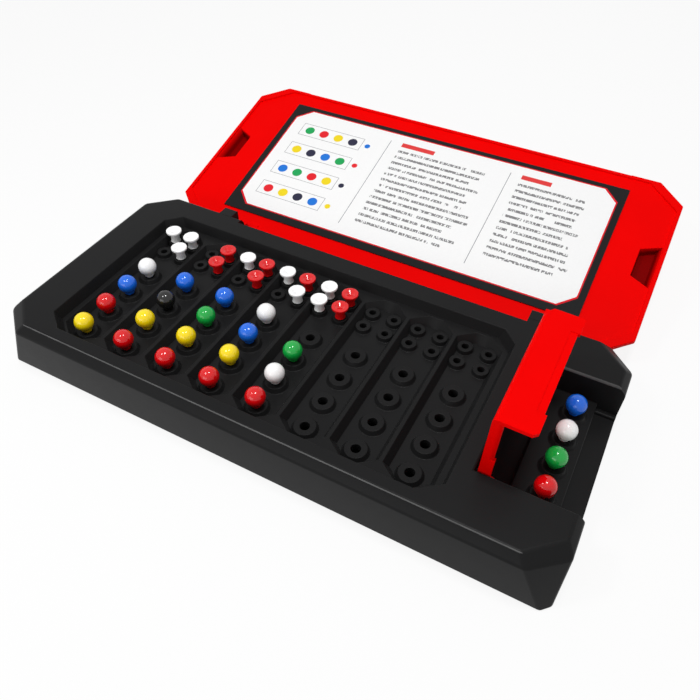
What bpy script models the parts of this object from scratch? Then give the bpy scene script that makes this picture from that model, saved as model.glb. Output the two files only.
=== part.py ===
"""Code breaking peg game: a hinged case with a peg board, a fold-down code shield and 38 pegs.

Metres, +Z up, X along the board to the right, Y from the player towards the lid.
The origin is the middle of the case's underside.
"""

import math

import bmesh
import bpy

# Driving sizes of the case
CASE_LENGTH = 0.284
CASE_DEPTH = 0.126
CASE_HEIGHT = 0.029
CASE_WALL = 0.0022
TOP_THICKNESS = 0.0031
EDGE_BEVEL = 0.0038
TOP_CORNER_X = 0.0144
TOP_CORNER_Y = 0.0130
SHOULDER_CORNER_X = 0.0146
SHOULDER_CORNER_Y = 0.0120
SHOULDER_BACK_CORNER_X = 0.0125
BACK_BEVEL = 0.0024
SPAN_BEVEL_Y = 0.0056
SPAN_BEVEL_Z = 0.0052
FOOT_CORNER = 0.0036

# Fits that several pieces share
CLEARANCE = 0.0003
OVERRUN = 0.001
WELD = 0.0006

# Bays, one for each guess
BAY_COUNT = 8
BAYS_LEFT_MARGIN = 0.0275
BAYS_RIGHT_MARGIN = 0.0565
BAYS_FRONT_MARGIN = 0.0127
BAYS_BACK_MARGIN = 0.0190
BAY_RIB = 0.0020
BAY_DEPTH = 0.0045
BAY_DRAFT = 0.0023
BAY_BACK_DRAFT = 0.0030
BAY_WALL = 0.0014
BAY_FRONT_CORNER_SHARES = (0.2783, 0.2435)
BAY_BACK_CORNER_SHARE = 0.2696

# Recess round all the bays
RECESS_DEPTH = 0.0056
RECESS_DRAFT = 0.0018
RECESS_SIDE = 0.0036
RECESS_FRONT = 0.0027
RECESS_BACK = 0.0032
RECESS_FRONT_CORNER_X = 0.0100
RECESS_FRONT_CORNER_Y = 0.0075
RECESS_BACK_CORNER = 0.0073

# Rows of holes, as shares of a bay's length from its front and of its width, and the bosses round them
CODE_ROW_SHARES = (0.0827, 0.2500, 0.4172, 0.5844)
KEY_ROW_SHARES = (0.7922, 0.9056)
KEY_SPREAD_SHARE = 0.5217
BOSS_HEIGHT = 0.00235
CODE_BOSS_GAP = 0.003565
CODE_BOSS_TAPER = 0.0011
CODE_HOLE_RADIUS = 0.0022
KEY_BOSS_GAP = 0.0023
KEY_BOSS_TAPER = 0.0005
KEY_HOLE_RADIUS = 0.0017

# Code pegs: a ball on a short neck and a stem
CODE_BALL_RADIUS = 0.0047
CODE_BALL_HEIGHT = 0.0056
CODE_NECK_RADIUS = 0.0027
CODE_STEM_LENGTH = 0.0065
STEM_TIP = 0.0005

# Key pegs: a flat domed head on a thick collar and a stem
KEY_HEAD_GAP = 0.0021
KEY_HEAD_UNDERSIDE = 0.0060
KEY_RIM_HEIGHT = 0.0010
KEY_EDGE_ROUND = 0.0004
KEY_DIMPLE_RADIUS = 0.0024
KEY_DIMPLE_DEPTH = 0.0012
KEY_COLLAR_RADIUS = 0.0024
KEY_STEM_LENGTH = 0.0060

# Channel for the secret code, open at the right end of the case
CHANNEL_WIDTH = 0.04515
CHANNEL_FRONT_MARGIN = 0.0280
CHANNEL_BACK_MARGIN = 0.0270
CHANNEL_FLOOR = 0.0145
CHANNEL_WALL = 0.0016
PLATFORM_WIDTH = 0.0220
PLATFORM_MARGIN = 0.0095
SIDE_FLOOR = 0.0095
LEDGE_DEPTH = 0.0024
LEDGE_HEIGHT = 0.0017
SECRET_MARGIN = 0.0180
SECRET_ROW_SHARES = (0.1598, 0.3819, 0.6040, 0.8261)

# Code shield, which folds down over the secret code
SHIELD_AXIS_SETBACK = 0.00615
SHIELD_AXIS_Z = 0.02365
SHIELD_LEAN = 1.1
SHIELD_FRONT_GAP = 0.0016
SHIELD_BACK_GAP = 0.0023
SHIELD_FACE = 0.0051
SHIELD_SKIN = 0.0012
SHIELD_ROOF = 0.0018
SHIELD_ROOF_REACH = 0.01175
SHIELD_BEND = 0.0020
SHIELD_END_DEPTH = 0.00325
SHIELD_FOOT_RADIUS = 0.0030
SHIELD_FOOT_RISE = 0.0042
SHIELD_LIP_REACH = 0.0020
SHIELD_LIP_TOP = 0.0141
SHIELD_GRIP_WIDTH = 0.0041
SHIELD_GRIP_DEPTH = 0.0004
SHIELD_GRIP_SETBACK = 0.0009
SHIELD_GRIP_FRONT = 0.0108
SHIELD_GRIP_BACK = 0.0097
SHIELD_CORNER_FRONT = 0.0018
SHIELD_CORNER_BACK = 0.0012
SHIELD_CORNER_LEFT_X = 0.0033
SHIELD_CORNER_LEFT_Y = 0.0045
SHIELD_PIN_RADIUS = 0.0015
SHIELD_PIN_GRIP = 0.0010

# Lid hinge
HINGE_SETBACK = 0.0010
HINGE_Z = 0.0209
HINGE_PIN_RADIUS = 0.00125
LUG_RADIUS = 0.0028
LUG_ROUND = 0.0008
LUG_WIDTH = 0.0081
LUG_LEFT_MARGIN = 0.0473
LUG_RIGHT_MARGIN = 0.0529
EAR_RADIUS = 0.0026
EAR_WIDTH = 0.0061
EAR_FOOT = 0.0070
HINGE_POCKET_DEPTH = 0.0026
HINGE_POCKET_DROP = 0.0034
HINGE_POCKET_WALL = 0.0016

# Lid, opened past the upright; its outline is measured from the hinge axis
LID_TILT = 14.27
LID_INSET = 0.00275
LID_FRONT_INSET = 0.0044
LID_SETBACK = 0.0032
LID_DROP = 0.0084
LID_CORNER_X = 0.0153
LID_CORNER_Y = 0.0135
LID_SIDE = 0.0030
LIP_HEIGHT = 0.0012
LIP_WIDTH = 0.0022
PANEL_CORNER_X = 0.0182
PANEL_CORNER_Y = 0.0160
LATCH_RECESS_INSET = 0.03175
LATCH_RECESS_DEPTH = 0.0006

# Outer cover of the lid
LID_COVER_DEPTH = 0.0042
LID_COVER_BEVEL = 0.0036
LID_COVER_WALL = 0.0013

# Finger pockets in the lid's two ends
POCKET_DEPTH = 0.0050
POCKET_REACH = 0.0112
POCKET_OUTER_WIDTH = 0.0295
POCKET_INNER_WIDTH = 0.0193
POCKET_CENTRE_SHARE = 0.5107
POCKET_WALL = 0.0012
POCKET_FLOOR_DRAFT = 0.0010

# Rules card on the lid
CARD_SIDE_MARGIN = 0.02945
CARD_HINGE_MARGIN = 0.0143
CARD_FAR_MARGIN = 0.0115
CARD_THICKNESS = 0.0004

# Bottom cover and its screws
COVER_THICKNESS = 0.0026
COVER_CORNER = 0.0048
SCREW_INSET_X = 0.016
SCREW_INSET_Y = 0.013
SCREW_RADIUS = 0.0015
SCREW_LENGTH = 0.0120
SCREW_HEAD_RADIUS = 0.0028
SCREW_HEAD_HEIGHT = 0.0010
SCREW_HEAD_RECESS = 0.0016
SCREW_SOCKET_RADIUS = 0.0010
SCREW_SOCKET_DEPTH = 0.0006
SCREW_POST_RADIUS = 0.0042

# Facets round turned shapes
BALL_RINGS = 6
PEG_SIDES = 10
CODE_BOSS_SIDES = 12
KEY_BOSS_SIDES = 10
EAR_STEPS = 10
PIN_SIDES = 12
BEND_STEPS = 4

# Places and sizes worked out from those above
BAY_PITCH = (CASE_LENGTH - BAYS_LEFT_MARGIN - BAYS_RIGHT_MARGIN) / BAY_COUNT
BAY_TOP_WIDTH = BAY_PITCH - BAY_RIB
BAY_FRONT_Y = -CASE_DEPTH / 2 + BAYS_FRONT_MARGIN
BAY_BACK_Y = CASE_DEPTH / 2 - BAYS_BACK_MARGIN
BAY_LENGTH = BAY_BACK_Y - BAY_FRONT_Y
FIRST_BAY_X = -CASE_LENGTH / 2 + BAYS_LEFT_MARGIN + BAY_PITCH / 2
CHANNEL_LEFT = CASE_LENGTH / 2 - CHANNEL_WIDTH
CHANNEL_FRONT_Y = -CASE_DEPTH / 2 + CHANNEL_FRONT_MARGIN
CHANNEL_BACK_Y = CASE_DEPTH / 2 - CHANNEL_BACK_MARGIN
CHANNEL_LENGTH = CHANNEL_BACK_Y - CHANNEL_FRONT_Y
PLATFORM_RIGHT = CASE_LENGTH / 2 - PLATFORM_MARGIN
PLATFORM_LEFT = PLATFORM_RIGHT - PLATFORM_WIDTH
SECRET_X = CASE_LENGTH / 2 - SECRET_MARGIN
SHIELD_AXIS_X = CHANNEL_LEFT + SHIELD_AXIS_SETBACK
SHIELD_TOP = CASE_LENGTH / 2 - SHIELD_AXIS_X
HINGE_Y = CASE_DEPTH / 2 + HINGE_SETBACK
LUG_LEFTS = (-CASE_LENGTH / 2 + LUG_LEFT_MARGIN, CASE_LENGTH / 2 - LUG_RIGHT_MARGIN)
LID_LENGTH = CASE_LENGTH - 2 * LID_INSET
LID_DEPTH = CASE_DEPTH - LID_FRONT_INSET
LATCH_RECESS_LENGTH = LID_LENGTH - 2 * LATCH_RECESS_INSET
CARD_LENGTH = LID_LENGTH - 2 * CARD_SIDE_MARGIN
CARD_DEPTH = LID_DEPTH - CARD_HINGE_MARGIN - CARD_FAR_MARGIN
CARD_SETBACK = LID_SETBACK + CARD_HINGE_MARGIN
SCREW_X = CASE_LENGTH / 2 - SCREW_INSET_X
SCREW_Y = CASE_DEPTH / 2 - SCREW_INSET_Y
RECESS_Z = CASE_HEIGHT - RECESS_DEPTH
BAY_FLOOR = RECESS_Z - BAY_DEPTH
BOSS_TOP = BAY_FLOOR + BOSS_HEIGHT
SECRET_BOSS_TOP = CHANNEL_FLOOR + BOSS_HEIGHT
CEILING = CASE_HEIGHT - TOP_THICKNESS
SHOULDER_Z = CASE_HEIGHT - EDGE_BEVEL
SHIELD_FRONT_Y = CHANNEL_FRONT_Y + SHIELD_FRONT_GAP
SHIELD_BACK_Y = CHANNEL_BACK_Y - SHIELD_BACK_GAP
LAST_BAY_X = FIRST_BAY_X + (BAY_COUNT - 1) * BAY_PITCH
BAY_YS = [BAY_FRONT_Y + share * BAY_LENGTH for share in CODE_ROW_SHARES]
KEY_YS = [BAY_FRONT_Y + share * BAY_LENGTH for share in KEY_ROW_SHARES]
SECRET_YS = [CHANNEL_FRONT_Y + share * CHANNEL_LENGTH for share in SECRET_ROW_SHARES]
KEY_SPREAD = BAY_TOP_WIDTH * KEY_SPREAD_SHARE
KEY_PITCH = min(KEY_SPREAD, KEY_YS[1] - KEY_YS[0])
KEY_HEAD_RADIUS = (KEY_PITCH - KEY_HEAD_GAP) / 2
KEY_BOSS_FOOT_RADIUS = (KEY_PITCH - KEY_BOSS_GAP) / 2
KEY_BOSS_TOP_RADIUS = KEY_BOSS_FOOT_RADIUS - KEY_BOSS_TAPER
CODE_BOSS_FOOT_RADIUS = (BAY_YS[1] - BAY_YS[0] - CODE_BOSS_GAP) / 2
CODE_BOSS_TOP_RADIUS = CODE_BOSS_FOOT_RADIUS - CODE_BOSS_TAPER
KEY_PLACES = {
    "front_left": (-KEY_SPREAD / 2, KEY_YS[0]),
    "front_right": (KEY_SPREAD / 2, KEY_YS[0]),
    "back_left": (-KEY_SPREAD / 2, KEY_YS[1]),
    "back_right": (KEY_SPREAD / 2, KEY_YS[1]),
}

# The game as it stands: code pegs front to back in each bay, then the key pegs
CODE_GUESSES = [
    ["yellow", "red", "blue", "white"],
    ["red", "yellow", "black", "blue"],
    ["red", "yellow", "green", "blue"],
    ["red", "yellow", "blue", "white"],
    ["red", "white", "green"],
]
KEY_ANSWERS = [
    {"back_left": "white", "back_right": "white", "front_right": "white"},
    {"back_right": "red", "front_right": "red"},
    {"back_left": "white", "back_right": "red", "front_right": "red"},
    {"back_left": "white", "back_right": "red", "front_right": "white"},
    {"back_left": "white", "back_right": "red", "front_left": "white", "front_right": "red"},
]
SECRET_CODE = ["red", "green", "white", "blue"]

# Base colour and roughness of each material
PLASTICS = {
    "case_black": ((0.018, 0.018, 0.019), 0.42),
    "lid_red": ((0.80, 0.003, 0.003), 0.40),
    "peg_red": ((0.62, 0.010, 0.012), 0.16),
    "peg_yellow": ((0.85, 0.62, 0.010), 0.16),
    "peg_blue": ((0.012, 0.11, 0.60), 0.16),
    "peg_green": ((0.010, 0.27, 0.050), 0.16),
    "peg_white": ((0.80, 0.80, 0.80), 0.16),
    "peg_black": ((0.012, 0.012, 0.012), 0.16),
    "card_print": ((0.75, 0.75, 0.75), 0.55),
}
METALS = {"pin_steel": ((0.55, 0.55, 0.56), 0.30)}


def make_material(name, colour, roughness, metallic):
    """A plain shader with the part's colour, roughness and metallic value."""
    material = bpy.data.materials.new(name)
    material.use_nodes = True
    shader = material.node_tree.nodes["Principled BSDF"]
    shader.inputs["Base Color"].default_value = (*colour, 1.0)
    shader.inputs["Roughness"].default_value = roughness
    shader.inputs["Metallic"].default_value = metallic
    return material


def octagon(half_x, half_y, cut_x, cut_y, back_cut_x=None, back_cut_y=None):
    """Corner points of a rectangle with its four corners cut off, anticlockwise from the front."""
    back_x = cut_x if back_cut_x is None else back_cut_x
    back_y = cut_y if back_cut_y is None else back_cut_y
    return [
        (-half_x + cut_x, -half_y),
        (half_x - cut_x, -half_y),
        (half_x, -half_y + cut_y),
        (half_x, half_y - back_y),
        (half_x - back_x, half_y),
        (-half_x + back_x, half_y),
        (-half_x, half_y - back_y),
        (-half_x, -half_y + cut_y),
    ]


def circle(radius, sides):
    """Points of a regular polygon, anticlockwise."""
    steps = [2 * math.pi * step / sides for step in range(sides)]
    return [(radius * math.cos(angle), radius * math.sin(angle)) for angle in steps]


def arc(radius, start, end, steps, centre=(0, 0)):
    """Points along an arc, with its angles in degrees."""
    angles = [math.radians(start + (end - start) * step / steps) for step in range(steps + 1)]
    return [(centre[0] + radius * math.cos(a), centre[1] + radius * math.sin(a)) for a in angles]


def rectangle(left, right, front, back):
    """Corner points of an upright rectangle, anticlockwise."""
    return [(left, front), (right, front), (right, back), (left, back)]


def moved(points, x, y):
    """The same outline at another place."""
    return [(px + x, py + y) for px, py in points]


def add_loft(mesh, rings):
    """A closed solid through outlines of equal length, each given with its height, bottom to top."""
    layers = [[mesh.verts.new((x, y, z)) for x, y in points] for points, z in rings]
    mesh.faces.new(reversed(layers[0]))
    mesh.faces.new(layers[-1])
    for low, high in zip(layers, layers[1:]):
        for index in range(len(low)):
            after = (index + 1) % len(low)
            mesh.faces.new((low[index], low[after], high[after], high[index]))


def add_turned(mesh, profile, sides, x=0.0, y=0.0):
    """A solid turned about an upright axis, from radius and height pairs; a last radius of 0 is a tip."""
    rings = []
    for radius, height in profile:
        points = circle(radius, sides) if radius else [(0, 0)]
        rings.append([mesh.verts.new((x + px, y + py, height)) for px, py in points])
    mesh.faces.new(reversed(rings[0]))
    if len(rings[-1]) > 1:
        mesh.faces.new(rings[-1])
    for low, high in zip(rings, rings[1:]):
        for index in range(sides):
            after = (index + 1) % sides
            upper = (high[after], high[index]) if len(high) > 1 else (high[0],)
            mesh.faces.new((low[index], low[after], *upper))


def make_object(name, mesh, material=None, location=(0, 0, 0), smooth_angle=30):
    """Turns a bmesh into a named object; with no material it is a cutter or a guide."""
    data = bpy.data.meshes.new(name)
    mesh.to_mesh(data)
    mesh.free()
    if material:
        data.materials.append(bpy.data.materials[material])
        data.shade_smooth()
        data.set_sharp_from_angle(angle=math.radians(smooth_angle))
    piece = bpy.data.objects.new(name, data)
    piece.location = location
    bpy.context.scene.collection.objects.link(piece)
    if not material:
        piece.hide_render = True
        piece.display_type = "WIRE"
    return piece


def combine(piece, operation, other):
    """Adds a live Boolean to a piece; the other object rides with it."""
    other.parent = piece
    modifier = piece.modifiers.new(other.name, "BOOLEAN")
    modifier.operation = operation
    modifier.object = other
    modifier.solver = "EXACT"


def add_along_x(mesh, profile, left, right):
    """A solid of a (y, z) profile drawn from left to right."""
    start = [mesh.verts.new((left, y, z)) for y, z in profile]
    end = [mesh.verts.new((right, y, z)) for y, z in profile]
    mesh.faces.new(reversed(start))
    mesh.faces.new(end)
    for index in range(len(profile)):
        after = (index + 1) % len(profile)
        mesh.faces.new((start[index], start[after], end[after], end[index]))


def add_along_y(mesh, profile, front, back):
    """A solid of an (x, z) profile drawn from front to back."""
    start = [mesh.verts.new((x, front, z)) for x, z in profile]
    end = [mesh.verts.new((x, back, z)) for x, z in profile]
    mesh.faces.new(start)
    mesh.faces.new(reversed(end))
    for index in range(len(profile)):
        after = (index + 1) % len(profile)
        mesh.faces.new((start[after], start[index], end[index], end[after]))


def bay_outline(x, grown, z):
    """A bay's outline at one height; its walls slope in towards the floor."""
    fall = (RECESS_Z - z) / BAY_DEPTH
    half_x = BAY_TOP_WIDTH / 2 - fall * BAY_DRAFT + grown
    front = BAY_FRONT_Y + fall * BAY_DRAFT - grown
    back = BAY_BACK_Y - fall * BAY_BACK_DRAFT + grown
    points = octagon(
        half_x,
        (back - front) / 2,
        BAY_TOP_WIDTH * BAY_FRONT_CORNER_SHARES[0],
        BAY_TOP_WIDTH * BAY_FRONT_CORNER_SHARES[1],
        BAY_TOP_WIDTH * BAY_BACK_CORNER_SHARE,
        BAY_TOP_WIDTH * BAY_BACK_CORNER_SHARE,
    )
    return moved(points, x, (front + back) / 2)


def bay_xs():
    """Centres of the bays, left to right."""
    return [FIRST_BAY_X + bay * BAY_PITCH for bay in range(BAY_COUNT)]


def code_places():
    """Centres of all the code holes in the bays."""
    return [(x, y) for x in bay_xs() for y in BAY_YS]


def key_places():
    """Centres of all the key holes in the bays."""
    return [(x + dx, y) for x in bay_xs() for dx, y in KEY_PLACES.values()]


def secret_places():
    """Centres of the secret code's holes."""
    return [(SECRET_X, y) for y in SECRET_YS]


def case_cavity():
    """The hollow under the case's top, open below."""
    mesh = bmesh.new()
    half_x = CASE_LENGTH / 2 - CASE_WALL
    half_y = CASE_DEPTH / 2 - CASE_WALL
    foot = octagon(half_x, half_y, FOOT_CORNER, FOOT_CORNER)
    top = octagon(half_x - CASE_WALL, half_y - CASE_WALL, SHOULDER_CORNER_X, SHOULDER_CORNER_Y)
    add_loft(mesh, [(foot, -OVERRUN), (foot, COVER_THICKNESS), (top, CEILING)])
    return make_object("case_cavity", mesh)


def recess_outline(grown, z):
    """The recess' outline at one height; its walls lean in towards its floor."""
    lean = (CASE_HEIGHT - z) / RECESS_DEPTH * RECESS_DRAFT - grown
    left = FIRST_BAY_X - BAY_PITCH / 2 - RECESS_SIDE + lean
    right = LAST_BAY_X + BAY_PITCH / 2 + RECESS_SIDE - lean
    front = BAY_FRONT_Y - RECESS_FRONT + lean
    back = BAY_BACK_Y + RECESS_BACK - lean
    points = octagon(
        (right - left) / 2,
        (back - front) / 2,
        RECESS_FRONT_CORNER_X,
        RECESS_FRONT_CORNER_Y,
        RECESS_BACK_CORNER,
        RECESS_BACK_CORNER,
    )
    return moved(points, (left + right) / 2, (front + back) / 2)


def recess_tub():
    """Walls and floor of the recess, which hang below the case's top."""
    mesh = bmesh.new()
    low = RECESS_Z - BAY_WALL
    high = CEILING + WELD
    add_loft(mesh, [(recess_outline(BAY_WALL, low), low), (recess_outline(BAY_WALL, high), high)])
    return make_object("recess_tub", mesh)


def bay_tubs():
    """Walls and floors that hang below the recess' floor, one tub for each bay."""
    mesh = bmesh.new()
    low = BAY_FLOOR - BAY_WALL
    high = RECESS_Z - BAY_WALL + WELD / 2
    for x in bay_xs():
        add_loft(mesh, [(bay_outline(x, BAY_WALL, low), low), (bay_outline(x, BAY_WALL, high), high)])
    return make_object("bay_tubs", mesh)


def channel_tub():
    """The channel's own walls and floors, under the right end of the case's top."""
    mesh = bmesh.new()
    right = CASE_LENGTH / 2 - CASE_WALL / 2
    front = CHANNEL_FRONT_Y - CHANNEL_WALL
    back = CHANNEL_BACK_Y + CHANNEL_WALL
    left = CHANNEL_LEFT - CHANNEL_WALL
    outline = rectangle(left, right, front, back)
    add_loft(mesh, [(outline, SIDE_FLOOR - CHANNEL_WALL), (outline, CEILING + WELD)])
    return make_object("channel_tub", mesh)


def ear_left(lug_left):
    """Left face of the lid's ear beside a lug."""
    return lug_left + LUG_WIDTH + CLEARANCE


def hinge_blocks():
    """Solid corners inside the back wall, which the hinge pockets are sunk in."""
    mesh = bmesh.new()
    front = CASE_DEPTH / 2 - HINGE_POCKET_DEPTH - HINGE_POCKET_WALL
    back = CASE_DEPTH / 2 - CASE_WALL / 2
    low = HINGE_Z - HINGE_POCKET_DROP - HINGE_POCKET_WALL
    for lug_left in LUG_LEFTS:
        left = lug_left
        right = ear_left(lug_left) + EAR_WIDTH + CLEARANCE + HINGE_POCKET_WALL
        outline = rectangle(left, right, front, back)
        add_loft(mesh, [(outline, low), (outline, CEILING + WELD)])
    return make_object("hinge_blocks", mesh)


def hinge_lugs():
    """Hooded lugs behind the back wall, flush with the case's top, which carry the lid's pins."""
    mesh = bmesh.new()
    wall = CASE_DEPTH / 2 - CASE_WALL / 2
    back = HINGE_Y + LUG_RADIUS
    profile = [
        (CASE_DEPTH / 2 - EDGE_BEVEL, CASE_HEIGHT),
        (CASE_DEPTH / 2 - EDGE_BEVEL, CEILING + WELD),
        (wall, HINGE_Z - LUG_RADIUS),
        *arc(LUG_RADIUS, -90, 0, BEND_STEPS, (HINGE_Y, HINGE_Z)),
        (back, CASE_HEIGHT - LUG_ROUND),
        (back - LUG_ROUND, CASE_HEIGHT),
    ]
    for lug_left in LUG_LEFTS:
        add_along_x(mesh, profile, lug_left, lug_left + LUG_WIDTH)
    return make_object("hinge_lugs", mesh)


def span_bevel():
    """The wider bevel on the back edge between the two hinges."""
    mesh = bmesh.new()
    back = CASE_DEPTH / 2
    over = back + LUG_RADIUS
    profile = [
        (back - SPAN_BEVEL_Y, CASE_HEIGHT),
        (back, CASE_HEIGHT - SPAN_BEVEL_Z),
        (over, CASE_HEIGHT - SPAN_BEVEL_Z),
        (over, CASE_HEIGHT + OVERRUN),
        (back - SPAN_BEVEL_Y, CASE_HEIGHT + OVERRUN),
    ]
    left = ear_left(LUG_LEFTS[0]) + EAR_WIDTH + CLEARANCE
    add_along_x(mesh, profile, left, LUG_LEFTS[1])
    return make_object("span_bevel", mesh)


def hinge_pockets():
    """Room in the back edge for the lid's ears."""
    mesh = bmesh.new()
    front = CASE_DEPTH / 2 - HINGE_POCKET_DEPTH
    back = CASE_DEPTH / 2 + OVERRUN
    for lug_left in LUG_LEFTS:
        left = lug_left + LUG_WIDTH
        right = ear_left(lug_left) + EAR_WIDTH + CLEARANCE
        outline = rectangle(left, right, front, back)
        add_loft(mesh, [(outline, HINGE_Z - HINGE_POCKET_DROP), (outline, CASE_HEIGHT + OVERRUN)])
    return make_object("hinge_pockets", mesh)


def hinge_bores():
    """Bores through the lugs, blind in the wall on the far side of each pocket."""
    mesh = bmesh.new()
    profile = moved(circle(HINGE_PIN_RADIUS + CLEARANCE, PIN_SIDES), HINGE_Y, HINGE_Z)
    for lug_left in LUG_LEFTS:
        add_along_x(mesh, profile, lug_left - OVERRUN, lug_left + LUG_WIDTH + OVERRUN)
    return make_object("hinge_bores", mesh)


def recess_cut():
    """The recess that holds all the bays."""
    mesh = bmesh.new()
    high = CASE_HEIGHT + OVERRUN
    add_loft(mesh, [(recess_outline(0, RECESS_Z), RECESS_Z), (recess_outline(0, high), high)])
    return make_object("recess_cut", mesh)


def bay_cuts():
    """The bays themselves."""
    mesh = bmesh.new()
    high = RECESS_Z + OVERRUN
    for x in bay_xs():
        add_loft(mesh, [(bay_outline(x, 0, BAY_FLOOR), BAY_FLOOR), (bay_outline(x, 0, high), high)])
    return make_object("bay_cuts", mesh)


def bosses():
    """Tapered rings round the holes."""
    mesh = bmesh.new()
    sunk = BAY_WALL / 2
    code = [(CODE_BOSS_FOOT_RADIUS, -sunk), (CODE_BOSS_FOOT_RADIUS, 0), (CODE_BOSS_TOP_RADIUS, BOSS_HEIGHT)]
    key = [(KEY_BOSS_FOOT_RADIUS, -sunk), (KEY_BOSS_FOOT_RADIUS, 0), (KEY_BOSS_TOP_RADIUS, BOSS_HEIGHT)]
    for x, y in code_places():
        add_turned(mesh, [(r, BAY_FLOOR + z) for r, z in code], CODE_BOSS_SIDES, x, y)
    for x, y in key_places():
        add_turned(mesh, [(r, BAY_FLOOR + z) for r, z in key], KEY_BOSS_SIDES, x, y)
    for x, y in secret_places():
        add_turned(mesh, [(r, CHANNEL_FLOOR + z) for r, z in code], CODE_BOSS_SIDES, x, y)
    return make_object("bosses", mesh)


def peg_holes():
    """Holes through the bosses and the floors under them."""
    mesh = bmesh.new()
    for x, y in code_places():
        ends = [(CODE_HOLE_RADIUS, BAY_FLOOR - BAY_WALL - OVERRUN), (CODE_HOLE_RADIUS, BOSS_TOP + OVERRUN)]
        add_turned(mesh, ends, PEG_SIDES, x, y)
    for x, y in key_places():
        ends = [(KEY_HOLE_RADIUS, BAY_FLOOR - BAY_WALL - OVERRUN), (KEY_HOLE_RADIUS, BOSS_TOP + OVERRUN)]
        add_turned(mesh, ends, PEG_SIDES, x, y)
    for x, y in secret_places():
        low = SIDE_FLOOR - CHANNEL_WALL - OVERRUN
        ends = [(CODE_HOLE_RADIUS, low), (CODE_HOLE_RADIUS, SECRET_BOSS_TOP + OVERRUN)]
        add_turned(mesh, ends, PEG_SIDES, x, y)
    return make_object("peg_holes", mesh)


def channel_cut():
    """The channel, with a lower strip on each side of the platform that holds the secret code."""
    mesh = bmesh.new()
    right = CASE_LENGTH / 2 + OVERRUN
    high = CASE_HEIGHT + OVERRUN
    profile = [
        (CHANNEL_LEFT, high),
        (CHANNEL_LEFT, SIDE_FLOOR),
        (PLATFORM_LEFT, SIDE_FLOOR),
        (PLATFORM_LEFT, CHANNEL_FLOOR),
        (PLATFORM_RIGHT, CHANNEL_FLOOR),
        (PLATFORM_RIGHT, SIDE_FLOOR),
        (right, SIDE_FLOOR),
        (right, high),
    ]
    add_along_y(mesh, profile, CHANNEL_FRONT_Y, CHANNEL_BACK_Y)
    return make_object("channel_cut", mesh)


def channel_ledge():
    """A low ledge at the back of the right-hand strip."""
    mesh = bmesh.new()
    right = CASE_LENGTH / 2
    back = CHANNEL_BACK_Y + CHANNEL_WALL / 2
    outline = rectangle(PLATFORM_RIGHT - WELD, right, CHANNEL_BACK_Y - LEDGE_DEPTH, back)
    add_loft(mesh, [(outline, SIDE_FLOOR - WELD), (outline, SIDE_FLOOR + LEDGE_HEIGHT)])
    return make_object("channel_ledge", mesh)


def shield_bores():
    """Bores in the channel's end walls for the shield's pins."""
    mesh = bmesh.new()
    profile = moved(circle(SHIELD_PIN_RADIUS + CLEARANCE, PIN_SIDES), SHIELD_AXIS_X, SHIELD_AXIS_Z)
    front = CHANNEL_FRONT_Y - CHANNEL_WALL - OVERRUN
    add_along_y(mesh, profile, front, CHANNEL_FRONT_Y + OVERRUN)
    add_along_y(mesh, profile, CHANNEL_BACK_Y - OVERRUN, CHANNEL_BACK_Y + CHANNEL_WALL + OVERRUN)
    return make_object("shield_bores", mesh)


def screw_places():
    """Centres of the four screws in the underside."""
    return [(x, y) for x in (-SCREW_X, SCREW_X) for y in (-SCREW_Y, SCREW_Y)]


def screw_posts():
    """Posts that hang from the case's top for the screws."""
    mesh = bmesh.new()
    low = COVER_THICKNESS + CLEARANCE
    for x, y in screw_places():
        ends = [(SCREW_POST_RADIUS, low), (SCREW_POST_RADIUS, CEILING + WELD)]
        add_turned(mesh, ends, PIN_SIDES, x, y)
    return make_object("screw_posts", mesh)


def screw_bores():
    """Pilot bores up into the posts."""
    mesh = bmesh.new()
    radius = SCREW_RADIUS + CLEARANCE
    for x, y in screw_places():
        add_turned(mesh, [(radius, 0), (radius, SCREW_LENGTH + OVERRUN)], PIN_SIDES, x, y)
    return make_object("screw_bores", mesh)


def make_case():
    """The black top moulding: walls, bays, channel, hinge lugs and screw posts in one piece."""
    mesh = bmesh.new()
    foot = octagon(CASE_LENGTH / 2, CASE_DEPTH / 2, FOOT_CORNER, FOOT_CORNER)
    shoulder = octagon(
        CASE_LENGTH / 2,
        CASE_DEPTH / 2,
        SHOULDER_CORNER_X,
        SHOULDER_CORNER_Y,
        SHOULDER_BACK_CORNER_X,
        SHOULDER_CORNER_Y,
    )
    half_y = (CASE_DEPTH - EDGE_BEVEL - BACK_BEVEL) / 2
    top = octagon(CASE_LENGTH / 2 - EDGE_BEVEL, half_y, TOP_CORNER_X, TOP_CORNER_Y)
    top = moved(top, 0, (EDGE_BEVEL - BACK_BEVEL) / 2)
    add_loft(mesh, [(foot, 0), (shoulder, SHOULDER_Z), (top, CASE_HEIGHT)])
    case = make_object("case_top", mesh, "case_black")
    combine(case, "DIFFERENCE", case_cavity())
    for guide in (recess_tub(), bay_tubs(), channel_tub(), hinge_blocks(), hinge_lugs(), screw_posts()):
        combine(case, "UNION", guide)
    for cutter in (recess_cut(), bay_cuts(), channel_cut(), span_bevel()):
        combine(case, "DIFFERENCE", cutter)
    for guide in (bosses(), channel_ledge()):
        combine(case, "UNION", guide)
    for cutter in (peg_holes(), hinge_pockets(), hinge_bores(), shield_bores(), screw_bores()):
        combine(case, "DIFFERENCE", cutter)


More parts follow.
